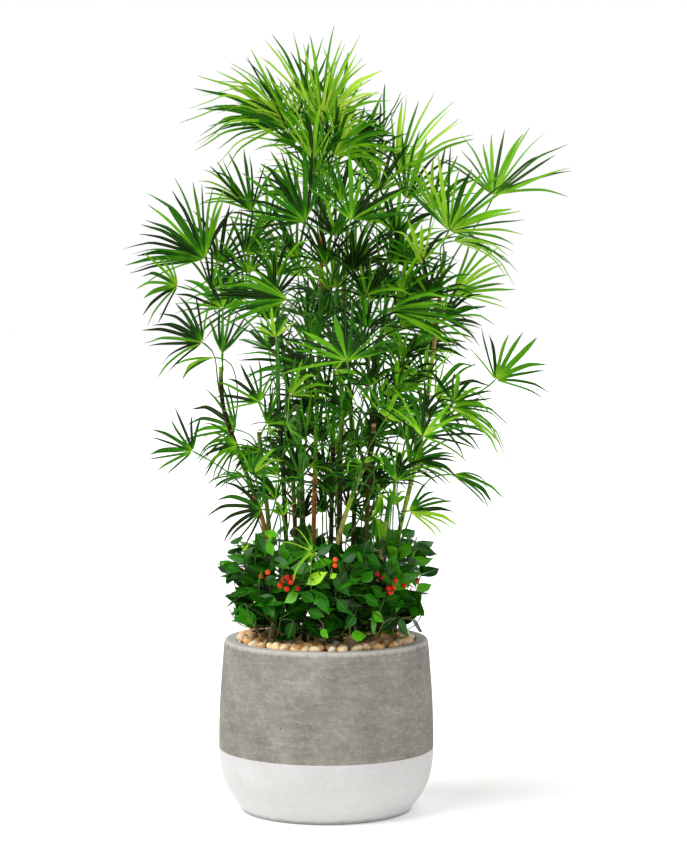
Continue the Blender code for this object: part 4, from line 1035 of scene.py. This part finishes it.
shrubTable = [  # as in the CAD: angle, foot's distance, top's height, top's distance
    (268, 122, 490, 176), (305, 132, 520, 182), (350, 140, 560, 186), (35, 138, 540, 180),
    (80, 142, 530, 178), (125, 136, 550, 180), (172, 142, 545, 184), (218, 130, 520, 180),
]
shrub = {
    "leaves": 8, "twist": 28, "straight": 0.008, "sag": 0.016, "stalk": 0.012, "stemHalf": 0.0023,
    "swings": (0, 10, -10, 20, -20, 30, -30, 40, -40), "sinks": (0, 12, 24, 36, 48),
    # side shoots and their leaves, which end inside the skirt's outline
    "branches": 11, "branchSpread": 0.150, "branchNear": 0.112, "branchFar": 0.203, "branchLow": 0.395,
    "branchHigh": 0.548, "branchSteps": 8, "branchHalf": (0.0014, *[0.0011] * 7, 0.0008),
    "branchBelow": 0.08, "branchLowest": 0.365, "branchSag": 0.012, "bare": 0.25, "tipLeaves": 3,
    "twigHalf": (*[0.0012] * 6, 0.0009), "shootHalf": (*[0.002] * 6, *[0.0015] * 5), "shootRing": 160,
    "leafStep": 0.0125, "leafHalf": 0.0142, "leafLong": (0.058, 0.078),
    "lowLeaves": 7, "lowLong": (0.056, 0.072),
    "nextTurn": 137.5, "edge": 0.234, "taperFrom": 0.47, "taper": 0.45, "highest": 0.578, "leftFrom": 0.125,
    "leftSlope": 0.7, "lowest": 0.356, "rimFrom": 0.12, "rimRise": 0.36, "front": 0.196,
    "bladeSteps": 16, "bladeSides": 8, "fold": 0.22, "thickness": 0.07,
}
frontLeaves = [  # leaves that the photograph shows singly: base x, z, tip x, z, half width, tone; the tone partly paints the light and shade each leaf shows
    (-172, 484, -212, 505, 12, 0.45), (-145, 444, -195, 446, 12, 0.4), (-146, 374, -190, 417, 16, 0.6),
    (-180, 496, -145, 542, 13, 0.35), (-143, 566, -122, 522, 11, 0.4), (-128, 568, -96, 560, 9, 0.8),
    (-120, 548, -108, 520, 9, 0.8), (-112, 515, -74, 494, 12, 0.45), (-76, 493, -22, 494, 14, 0.5),
    (-44, 457, 3, 489, 13, 0.98), (-55, 443, -22, 426, 12, 0.55), (-23, 449, 7, 400, 13, 0.62),
    (-55, 442, -86, 425, 12, 0.85), (-138, 437, -97, 420, 13, 0.5), (-128, 427, -106, 394, 12, 0.45),
    (-67, 384, -79, 350, 12, 0.25), (-41, 406, -2, 396, 12, 0.45), (-12, 369, 4, 352, 8, 0.8),
    (178, 538, 226, 524, 14, 0.3), (152, 556, 181, 574, 13, 0.45), (131, 473, 198, 487, 14, 0.7),
    (126, 477, 142, 525, 13, 0.58), (181, 445, 215, 464, 11, 0.85), (168, 501, 218, 516, 12, 0.75),
    (173, 392, 190, 418, 12, 0.6), (173, 388, 197, 364, 12, 0.2), (143, 390, 168, 356, 12, 0.35),
    (72, 461, 95, 491, 12, 0.6), (43, 467, 69, 473, 11, 0.55), (10, 481, 50, 437, 13, 0.45),
    (6, 471, 22, 485, 6, 0.98), (75, 437, 108, 419, 13, 0.5), (47, 352, 82, 358, 12, 0.82),
    (93, 402, 118, 386, 11, 0.8), (-20, 520, 12, 545, 12, 0.4), (30, 505, 62, 528, 12, 0.35),
    (80, 520, 112, 500, 12, 0.4), (-60, 530, -86, 552, 12, 0.38), (-30, 470, 10, 455, 12, 0.35),
    (90, 455, 122, 436, 12, 0.4), (20, 430, 46, 402, 12, 0.42), (60, 400, 40, 372, 11, 0.3),
    (120, 425, 150, 440, 12, 0.45), (-100, 460, -130, 478, 12, 0.42), (-165, 420, -196, 400, 12, 0.35),
]
frontStems = [  # bare shoots at the front: foot x, z, top x, z
    (-132, 340, -87, 443), (-124, 340, -102, 404), (46, 340, 50, 412), (55, 340, 61, 412),
    (140, 340, 130, 428),
]


def shrubBones(row, number, swing):  # the stem and where its leaves start, as the CAD works them out
    degrees, foot, height, reach = row
    out = outwards(degrees)
    base = out * foot / 1000
    top = out * reach / 1000 + up * height / 1000
    middle = base.lerp(top, 0.35)
    middle.z = 0.55 * top.z + 0.45 * pot["mulchTop"]
    low = base + up * (pot["mulchTop"] + shrub["straight"])
    line = [base + up * (pot["soilTop"] - cane["socket"])] + smoothLine([low, middle, top], shrub["leaves"])
    draw = random.Random(500 + number)
    leaves = []
    for k in range(2, len(line) - 1):
        turn = math.radians((k - 1) * shrub["twist"] + swing)
        away = Matrix.Rotation(turn, 3, up) @ up.cross(out) * (1 if k % 2 == 0 else -1)
        rise = (away + up * draw.uniform(0.25, 0.6)).normalized()
        leaves.append(((line[k] + line[k + 1]) / 2 + away * 0.0025, rise, draw.uniform(0.052, 0.064)))
    return line, out, leaves


def placedShrub(row, number):
    low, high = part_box(f"berry_shrub_{number:02d}")
    best = None
    for sink in shrub["sinks"]:
        for swing in shrub["swings"]:
            bones = shrubBones((row[0], row[1], row[2] - sink, row[3]), number, swing)
            tips = [start + rise * (shrub["stalk"] + length) - up * shrub["sag"]
                    for start, rise, length in bones[2]]
            miss = boxMiss(bones[0] + tips, low, high)
            if best is None or miss < best[0] - 1e-5:
                best = (miss, bones)
    return best[1]


def shrubLeaf(start, way, face, length, half, tone, sag):  # a stalk that widens into an oval, pointed blade
    face = square(face, way)
    across = face.cross(way)
    parts = (0.0, 0.09, 0.17, 0.29, 0.44, 0.6, 0.75, 0.88, 1.0)
    widths = (0.08, 0.08, 0.42, 0.82, 1.0, 0.93, 0.6, 0.23, 0.01)
    points = [start + way * length * t - up * sag * t**2 for t in parts]
    return strand(points, [half * w for w in widths], tone, [across] * len(parts))


def fits(tip, start):  # inside the skirt, over the mulch and clear of the rim
    reach, middle = math.hypot(tip.x, tip.y), (tip + start) / 2
    outer = max(reach, math.hypot(middle.x, middle.y))
    lowest = shrub["lowest"] + max(outer - shrub["rimFrom"], 0) * shrub["rimRise"]
    # the skirt draws in towards the rim and slopes down to the left
    edge = shrub["edge"] - max(shrub["taperFrom"] - middle.z, 0) * shrub["taper"]
    highest = shrub["highest"] - max(-tip.x - shrub["leftFrom"], 0) * shrub["leftSlope"]
    return reach < edge and min(tip.z, middle.z) > lowest and max(tip.z, middle.z) < highest


def branchStrands(bones, number):  # side shoots: where each ends follows a rule round the stem
    line, out, _ = bones
    draw = random.Random(800 + number)
    flat = up.cross(out)
    strands, spots = [], list(line[1:])
    steps, leafy = shrub["branchSteps"], 1 - shrub["bare"]
    for k in range(shrub["branches"]):  # unlike steps, so that the shoots' ends spread evenly
        side = ((k * 0.618 + 0.31) % 1 - 0.5) * shrub["branchSpread"] + draw.uniform(-0.008, 0.008)
        reach = shrub["branchNear"] + (shrub["branchFar"] - shrub["branchNear"]) * ((k * 0.38 + 0.2) % 1)
        height = shrub["branchLow"] + (shrub["branchHigh"] - shrub["branchLow"]) * ((k * 0.29 + 0.5) % 1)
        end = out * math.sqrt(max(reach**2 - side**2, 0.0001)) + flat * side + up * height
        rise = max(end.z - shrub["branchBelow"], shrub["branchLowest"])
        start = min(line[1:], key=lambda p: abs(p.z - rise))
        down = (end - start).cross(up).cross(end - start).normalized() * -shrub["branchSag"]
        path = smoothLine([start, start.lerp(end, 0.5) + down, end], steps)
        strands.append(strand(path, shrub["branchHalf"], 0.5, rounds=1.0))
        spots += path[2:]
        length = (end - start).length
        count = max(int(length * leafy / shrub["leafStep"]), 3)
        for j in range(count + shrub["tipLeaves"]):
            last = j >= count  # the leaves round the tip
            t = 1.0 if last else shrub["bare"] + leafy * j / count
            low = min(int(t * steps), steps - 1)
            at = path[low].lerp(path[low + 1], t * steps % 1 if t < 1 else 1)
            along = (path[low + 1] - path[low]).normalized()
            outward = Vector((at.x, at.y, 0)).normalized()
            around = along.orthogonal().normalized()
            around.rotate(Matrix.Rotation(math.radians(shrub["nextTurn"] * j + 60 * k), 3, along))
            sideways, forwards, share = (0.55, 0.6, 0.85) if last else (0.85, 0.25, 1)
            way = (around * sideways + along * forwards + outward * 0.5).normalized()
            size = draw.uniform(*shrub["leafLong"]) * share
            sag = draw.uniform(0.004, 0.018)
            face = up * draw.uniform(0.5, 0.9) + outward * draw.uniform(0.35, 0.8)
            # painted light: leaves round the shoots' tips and above 0.5 m are made brighter
            tone = draw.uniform(0.0, 0.6) + (0.12 if last else 0) + (0.1 if at.z > 0.5 else 0)
            if fits(at + way * size - up * sag, at):
                half = shrub["leafHalf"] * draw.uniform(0.85, 1.1)
                strands.append(shrubLeaf(at, way, face, size, half, tone, sag))
    for k in range(shrub["lowLeaves"]):  # a low tier round the stem, over the mulch
        at = min(line[1:], key=lambda p: abs(p.z - 0.366 - 0.006 * k))
        turn = math.radians(shrub["nextTurn"] * k + 40 * number)
        way = Vector((math.cos(turn), math.sin(turn), draw.uniform(0.1, 0.35))).normalized()
        size = draw.uniform(*shrub["lowLong"])
        if fits(at + way * size, at):
            tone = draw.uniform(0.1, 0.4)
            strands.append(shrubLeaf(at, way, up + viewer * 0.4, size, shrub["leafHalf"], tone, 0.006))
    return strands, spots


def shrubDepth(x):  # the front of the skirt at x millimetres
    return -math.sqrt(max((shrub["front"] * 1000) ** 2 - x * x, 900))


def waxyLeaf():
    # thick evergreen shrub leaf: dark green, waxed and glossy, pale midrib, feather veins pressed in
    look = {"veins": 9.0, "veinSlant": 1.7, "cloud": 34.0}
    material, add, shader, place, tone, along, edge, under = startMaterial(
        "waxy_shrub_leaf", "tone", "along", "edge", "underside")
    away = add("Math", [edge], operation="ABSOLUTE")
    cloud = add("TexNoise", {"Vector": place, "Scale": look["cloud"], "Detail": 4.0})
    fresh = add("Math", [cloud, 0.3, tone], operation="MULTIPLY_ADD")
    color = add("ValToRGB", [fresh], [
        (0.12, "#041C00"), (0.4, "#0E4401"), (0.66, "#267603"), (0.86, "#58B00E"), (0.98, "#A4DE24")])
    # veins leave the midrib at a slant and fade to the edge
    slant = add("Math", [away, look["veinSlant"]], operation="MULTIPLY")
    count = add("Math", [along, look["veins"] * 2 * math.pi], operation="MULTIPLY")
    count = add("Math", [count, slant], operation="SUBTRACT")
    vein = add("MapRange", [add("Math", [count], operation="COSINE"), 0.8, 1.0, 0.0, 1.0])
    fade = add("MapRange", [away, 0.3, 0.95, 0.2, 0.0])
    veins = add("Math", [vein, fade], operation="MULTIPLY")
    midrib = add("MapRange", [away, 0.03, 0.1, 0.5, 0.0])
    lines = add("Math", [veins, midrib], operation="MAXIMUM")
    pale = add("Math", [under, 0.18], operation="MULTIPLY")
    for share, tint in ((pale, "#4F8434"), (lines, "#5E9A2E")):
        color = add("Mix", {0: share, 6: color, 7: tint}, data_type="RGBA")
    rough = add("MapRange", [cloud, 0.3, 0.7, 0.2, 0.36])
    relief = add("Math", [cloud, 0.8, lines], operation="MULTIPLY_ADD")
    bump = add("Bump", {"Strength": 0.5, "Distance": 0.0008, "Height": relief}, invert=True)
    feed(shader, {"Base Color": color, "Roughness": rough, "Specular IOR Level": 0.15,
                  "Coat Weight": 0.06, "Coat Roughness": 0.14, "Normal": bump})
    glow = add("BsdfTranslucent", {"Color": color})
    feed(material.node_tree.nodes["Material Output"], {"Surface": add("MixShader", [0.1, shader, glow])})
    return material


def shrubBark():
    # young shrub shoots: smooth tan bark low down, green towards the tips, fine lengthwise cracks
    material, add, shader, place = startMaterial("young_shrub_bark")
    height = add("SeparateXYZ", [place]).outputs["Z"]
    streak = add("TexNoise", {"Vector": place, "Scale": 210.0, "Detail": 4.0})
    shift = add("Math", [streak, 0.06, height], operation="MULTIPLY_ADD")
    color = add("ValToRGB", [add("MapRange", [shift, 0.34, 0.56])], [
        (0.0, "#4A3620"), (0.3, "#6A5A2C"), (0.5, "#44581E"), (1.0, "#2C5A14")])
    rough = add("MapRange", [streak, 0, 1, 0.5, 0.8])
    bump = add("Bump", {"Strength": 0.4, "Distance": 0.0006, "Height": streak})
    feed(shader, {"Base Color": color, "Roughness": rough, "Normal": bump})
    return material


def nearest(spots, point):  # index of the shrub and the spot on its stems nearest to a point, from below
    return min(((index, spot) for index, own in enumerate(spots) for spot in own),
               key=lambda pair: (pair[1] - point).length + max(pair[1].z - point.z + 0.005, 0) * 1.5)


def makeShrubs():
    leafSkin, barkSkin = waxyLeaf(), shrubBark()
    groups, spots = [], []
    for number, row in enumerate(shrubTable, 1):
        bones = placedShrub(row, number)
        line, _, leaves = bones
        draw = random.Random(900 + number)
        stem = strand(line, [shrub["stemHalf"]] * (len(line) - 1) + [0.001], 0.5, rounds=1.0)
        strands, own = branchStrands(bones, number)
        strands.append(stem)
        for start, rise, length in leaves:
            face = up + Vector((start.x, start.y, 0)).normalized() * 0.5
            strands.append(shrubLeaf(start, rise, face, length + shrub["stalk"], shrub["leafHalf"],
                                     draw.uniform(0.3, 0.55), shrub["sag"]))
        groups.append(strands)
        spots.append(own)
    for x0, z0, x1, z1, half, tone in frontLeaves:
        start = atDepth(x0, z0, shrubDepth(x0))
        tip = atDepth(x1, z1, shrubDepth(x1) - 6)
        way = (tip - start).normalized()
        index, spot = nearest(spots, start)
        reach = start - spot
        twig = smoothLine([spot, spot + reach * 0.5 + up * 0.004, start, start + way * 0.004], 6)
        groups[index].append(strand(twig, shrub["twigHalf"], 0.5, rounds=1.0))
        face = up * 0.75 - Vector((0, 1, 0)) + Vector((start.x, 0, 0)) * 1.5
        length = (tip - start).length
        groups[index].append(shrubLeaf(start, way, face, length, half / 1000, tone * 0.85, 0.004))
    for x0, z0, x1, z1 in frontStems:
        depth = -math.sqrt(shrub["shootRing"] ** 2 - x0 * x0)
        foot, top = atDepth(x0, z0, depth), atDepth(x1, z1, depth - 8)
        foot.z = pot["soilTop"] - 0.006
        index, spot = nearest(spots, top)
        path = [foot, foot.lerp(top, 0.5) + up * 0.01, top, top.lerp(spot, 0.5) + up * 0.01, spot]
        groups[index].append(strand(smoothLine(path, 10), shrub["shootHalf"], 0.5, rounds=1.0))
    for index, strands in enumerate(groups):
        name = f"leafy_shrub_{index + 1:02d}"
        item = grown(name, guideMesh(name, strands), growStrands, {
            "Blade Steps": shrub["bladeSteps"], "Stem Steps": 9, "Blade Sides": shrub["bladeSides"],
            "Stem Sides": 6, "Fold": shrub["fold"], "Thickness": shrub["thickness"],
            "Blade Skin": leafSkin, "Stem Skin": barkSkin})
        finishPiece(item, "shrub", f"berry_shrub_{index + 1:02d}")
    return spots, barkSkin


shrubSpots, barkSkin = makeShrubs()
print("shrubs grown")


# Pebbles and berries: balls set on points, turned, flattened and dented by a tree

def ballTree():
    tree, add, given, result = startTree("set balls", {
        "Rounding": 2, "Dents": 0.0, "Dent Scale": 60.0, "Skin": ""})
    ball = add("GeometryNodeMeshIcoSphere", {"Radius": 1.0, "Subdivisions": given["Rounding"]})
    place = add("GeometryNodeInputPosition")
    pole = add("SeparateXYZ", [place]).outputs["Z"]
    ball = add("GeometryNodeStoreNamedAttribute", {"Geometry": ball, "Name": "pole", "Value": pole},
               data_type="FLOAT", domain="POINT")
    spots = add("GeometryNodeMeshToPoints", {"Mesh": given["Geometry"]})
    size, spin = [add("GeometryNodeInputNamedAttribute", {"Name": label}, data_type="FLOAT_VECTOR")
                  for label in ("size", "spin")]
    turn = add("FunctionNodeEulerToRotation", [spin])
    placed = add("GeometryNodeInstanceOnPoints", {
        "Points": spots, "Instance": ball, "Rotation": turn, "Scale": size})
    whole = add("GeometryNodeRealizeInstances", [placed])
    moved = roughened(add, whole, place, given["Dent Scale"], 1.0, given["Dents"])
    skinned = add("GeometryNodeSetMaterial", {"Geometry": moved, "Material": given["Skin"]})
    feed(result, {"Geometry": skinned})
    return tree


def spotMesh(name, spots):  # each spot: place, half sizes, turn, tone
    mesh = bpy.data.meshes.new(name)
    mesh.from_pydata([s[0] for s in spots], [], [])
    for label, kind in (("size", "FLOAT_VECTOR"), ("spin", "FLOAT_VECTOR"), ("tone", "FLOAT")):
        mesh.attributes.new(label, kind, "POINT")
    mesh.attributes["size"].data.foreach_set("vector", [c for s in spots for c in s[1]])
    mesh.attributes["spin"].data.foreach_set("vector", [c for s in spots for c in s[2]])
    mesh.attributes["tone"].data.foreach_set("value", [s[3] for s in spots])
    return mesh


pebble = {
    "disc": 0.1735, "layers": ((0.3255, 0.0140, 0), (0.3360, 0.0158, 0), (0.3495, 0.0174, 0.098)),
    "half": (0.0090, 0.0142), "narrow": (0.60, 0.92), "flat": (0.60, 0.88), "clear": 0.0125,
    "dents": 0.0100, "dentScale": 70.0, "tries": 5000, "seed": 41,
}


def pebbleSpots():
    feet = [mm(*points[0], 0) for points in caneTable]
    for degrees, foot, *_ in shrubTable:
        feet.append(mm(foot * math.cos(math.radians(degrees)), foot * math.sin(math.radians(degrees)), 0))
    draw, spots = random.Random(pebble["seed"]), []
    for height, spacing, inner in pebble["layers"]:  # the top layer is heaped against the wall
        layer = []
        for _ in range(pebble["tries"]):
            radius, turn = pebble["disc"] * math.sqrt(draw.random()), draw.uniform(0, 2 * math.pi)
            if radius < inner + draw.uniform(-0.01, 0.01):
                continue
            x, y = radius * math.cos(turn), radius * math.sin(turn)
            half = draw.uniform(*pebble["half"])
            if any((p.x - x) ** 2 + (p.y - y) ** 2 < pebble["clear"] ** 2 for p in feet):
                continue
            if any((s[0].x - x) ** 2 + (s[0].y - y) ** 2 < spacing**2 for s in layer):
                continue
            flat = half * draw.uniform(*pebble["flat"])
            layer.append((
                Vector((x, y, height + draw.uniform(-0.0015, 0.0015))),
                (half, half * draw.uniform(*pebble["narrow"]), flat),
                (draw.uniform(-0.35, 0.35), draw.uniform(-0.35, 0.35), draw.uniform(0, 6.28)), draw.random()))
        spots += layer
    return spots


def riverPebble():
    # washed river gravel: tan, cream and pinkish quartzite, tumbled round, dry, matt with fine grains
    material, add, shader, place, tone = startMaterial("washed_river_gravel", "tone")
    color = add("ValToRGB", [tone], [
        (0.0, "#DC9E5C"), (0.2, "#F2C082"), (0.42, "#FCD8A0"), (0.6, "#FFE8C0"), (0.74, "#F4B882"),
        (0.86, "#FFF4E0"), (1.0, "#E2B28C")])
    cloud = add("TexNoise", {"Vector": place, "Scale": 140.0, "Detail": 4.0})
    grain = add("TexNoise", {"Vector": place, "Scale": 900.0, "Detail": 2.0})
    shade = add("MapRange", [cloud, 0.3, 0.7, 0.88, 1.14])
    speck = add("MapRange", [grain, 0.3, 0.7, 0.88, 1.08])
    for share in (shade, speck):
        color = add("Mix", {0: 1.0, 6: color, 7: share}, data_type="RGBA", blend_type="MULTIPLY")
    # painted shade: stones that lie low are darkened towards soil brown, so the gaps between the top stones
    # read dark
    deep = add("MapRange", [add("SeparateXYZ", [place]).outputs["Z"], 0.328, 0.341, 0.9, 0.0])
    color = add("Mix", {0: deep, 6: color, 7: "#3A2C1C"}, data_type="RGBA")
    rough = add("MapRange", [cloud, 0, 1, 0.5, 0.8])
    bump = add("Bump", {"Strength": 0.35, "Distance": 0.0006, "Height": grain})
    feed(shader, {"Base Color": color, "Roughness": rough, "Normal": bump})
    return material


berry = {
    "half": (0.0050, 0.0060), "stalk": 0.00075, "ahead": 14, "rounding": 3,
    "clusterReach": 0.205, "clusterHalf": 0.0085, "clusterCount": 4, "dents": 0.0004, "dentScale": 120.0,
}
berryTable = [  # x, z, and a tone from dark red to orange, as the photograph shows them
    (-119, 484, 0.8), (-87, 469, 0.45), (-79, 473, 0.4), (-94, 457, 0.55), (-80, 450, 0.5), (-72, 464, 0.6),
    (-58, 451, 0.1), (18, 510, 0.95), (18, 498, 0.75), (104, 481, 0.05), (114, 474, 0.1), (141, 467, 0.5),
    (127, 451, 0.4), (136, 453, 0.55), (131, 443, 0.6), (158, 457, 0.35), (-132, 476, 0.5), (-66, 475, 0.3),
]
sideBerries = [  # clusters round the other sides: angle, height
    (150, 470), (60, 480), (25, 460), (100, 450), (125, 500),
]


def berrySpots():
    draw, spots = random.Random(77), []
    places = [(atDepth(x, z, shrubDepth(x) - berry["ahead"]), tone) for x, z, tone in berryTable]
    for degrees, height in sideBerries:
        out = outwards(degrees)
        middle, far = out * berry["clusterReach"] + up * height / 1000, berry["clusterHalf"]
        for k in range(berry["clusterCount"]):
            turn = math.radians(90 * k + degrees)
            places.append((middle + up.cross(out) * far * math.cos(turn) + up * far * math.sin(turn)
                           + out * draw.uniform(-0.004, 0.004), draw.uniform(0.2, 0.8)))
    for place, tone in places:
        half = draw.uniform(*berry["half"])
        tip = (draw.uniform(-0.7, 0.7), draw.uniform(-0.7, 0.7), 0)
        spots.append((place, (half, half, half * 0.96), tip, tone))
    return spots


def ripeBerry():
    # ripe shrub berry: thin shiny skin, scarlet to orange, a dry brown dot at the end
    material, add, shader, place, tone, pole = startMaterial("ripe_berry_skin", "tone", "pole")
    cloud = add("TexNoise", {"Vector": place, "Scale": 190.0, "Detail": 3.0})
    ripe = add("Math", [cloud, 0.25, tone], operation="MULTIPLY_ADD")
    color = add("ValToRGB", [ripe], [(0.1, "#620802"), (0.4, "#A40C02"), (0.7, "#CC2004"), (1.0, "#E85A14")])
    dot = add("MapRange", [pole, -0.99, -0.93, 0.9, 0.0])
    color = add("Mix", {0: dot, 6: color, 7: "#2A120A"}, data_type="RGBA")
    rough = add("MapRange", [cloud, 0, 1, 0.16, 0.32])
    feed(shader, {"Base Color": color, "Roughness": rough, "Specular IOR Level": 0.2,
                  "Coat Weight": 0.05, "Coat Roughness": 0.1})
    return material


def makePebblesAndBerries():
    setBalls = ballTree()
    item = grown("gravel_mulch", spotMesh("gravel", pebbleSpots()), setBalls, {
        "Rounding": 2, "Dents": pebble["dents"], "Dent Scale": pebble["dentScale"],
        "Skin": riverPebble()}, 80)
    finishPiece(item, "pebbles", "pebble_mulch")
    spots = berrySpots()
    item = grown("ripe_berries", spotMesh("berries", spots), setBalls, {
        "Rounding": berry["rounding"], "Dents": berry["dents"], "Dent Scale": berry["dentScale"],
        "Skin": ripeBerry()}, 80)
    finishPiece(item, "berry")
    stalks = []
    for place, *_ in spots:
        _, spot = nearest(shrubSpots, place)
        bend = place.lerp(spot, 0.3) + up * 0.009
        stalks.append(strand([place, place + up * 0.006, bend, spot], [berry["stalk"]] * 4, 0.5, rounds=1.0))
    finishPiece(grown("berry_stalks", guideMesh("berryStalks", stalks), growStrands, {
        "Stem Steps": 8, "Stem Sides": 6, "Blade Skin": barkSkin, "Stem Skin": barkSkin}), "shrub")


makePebblesAndBerries()
print("pebbles and berries set")
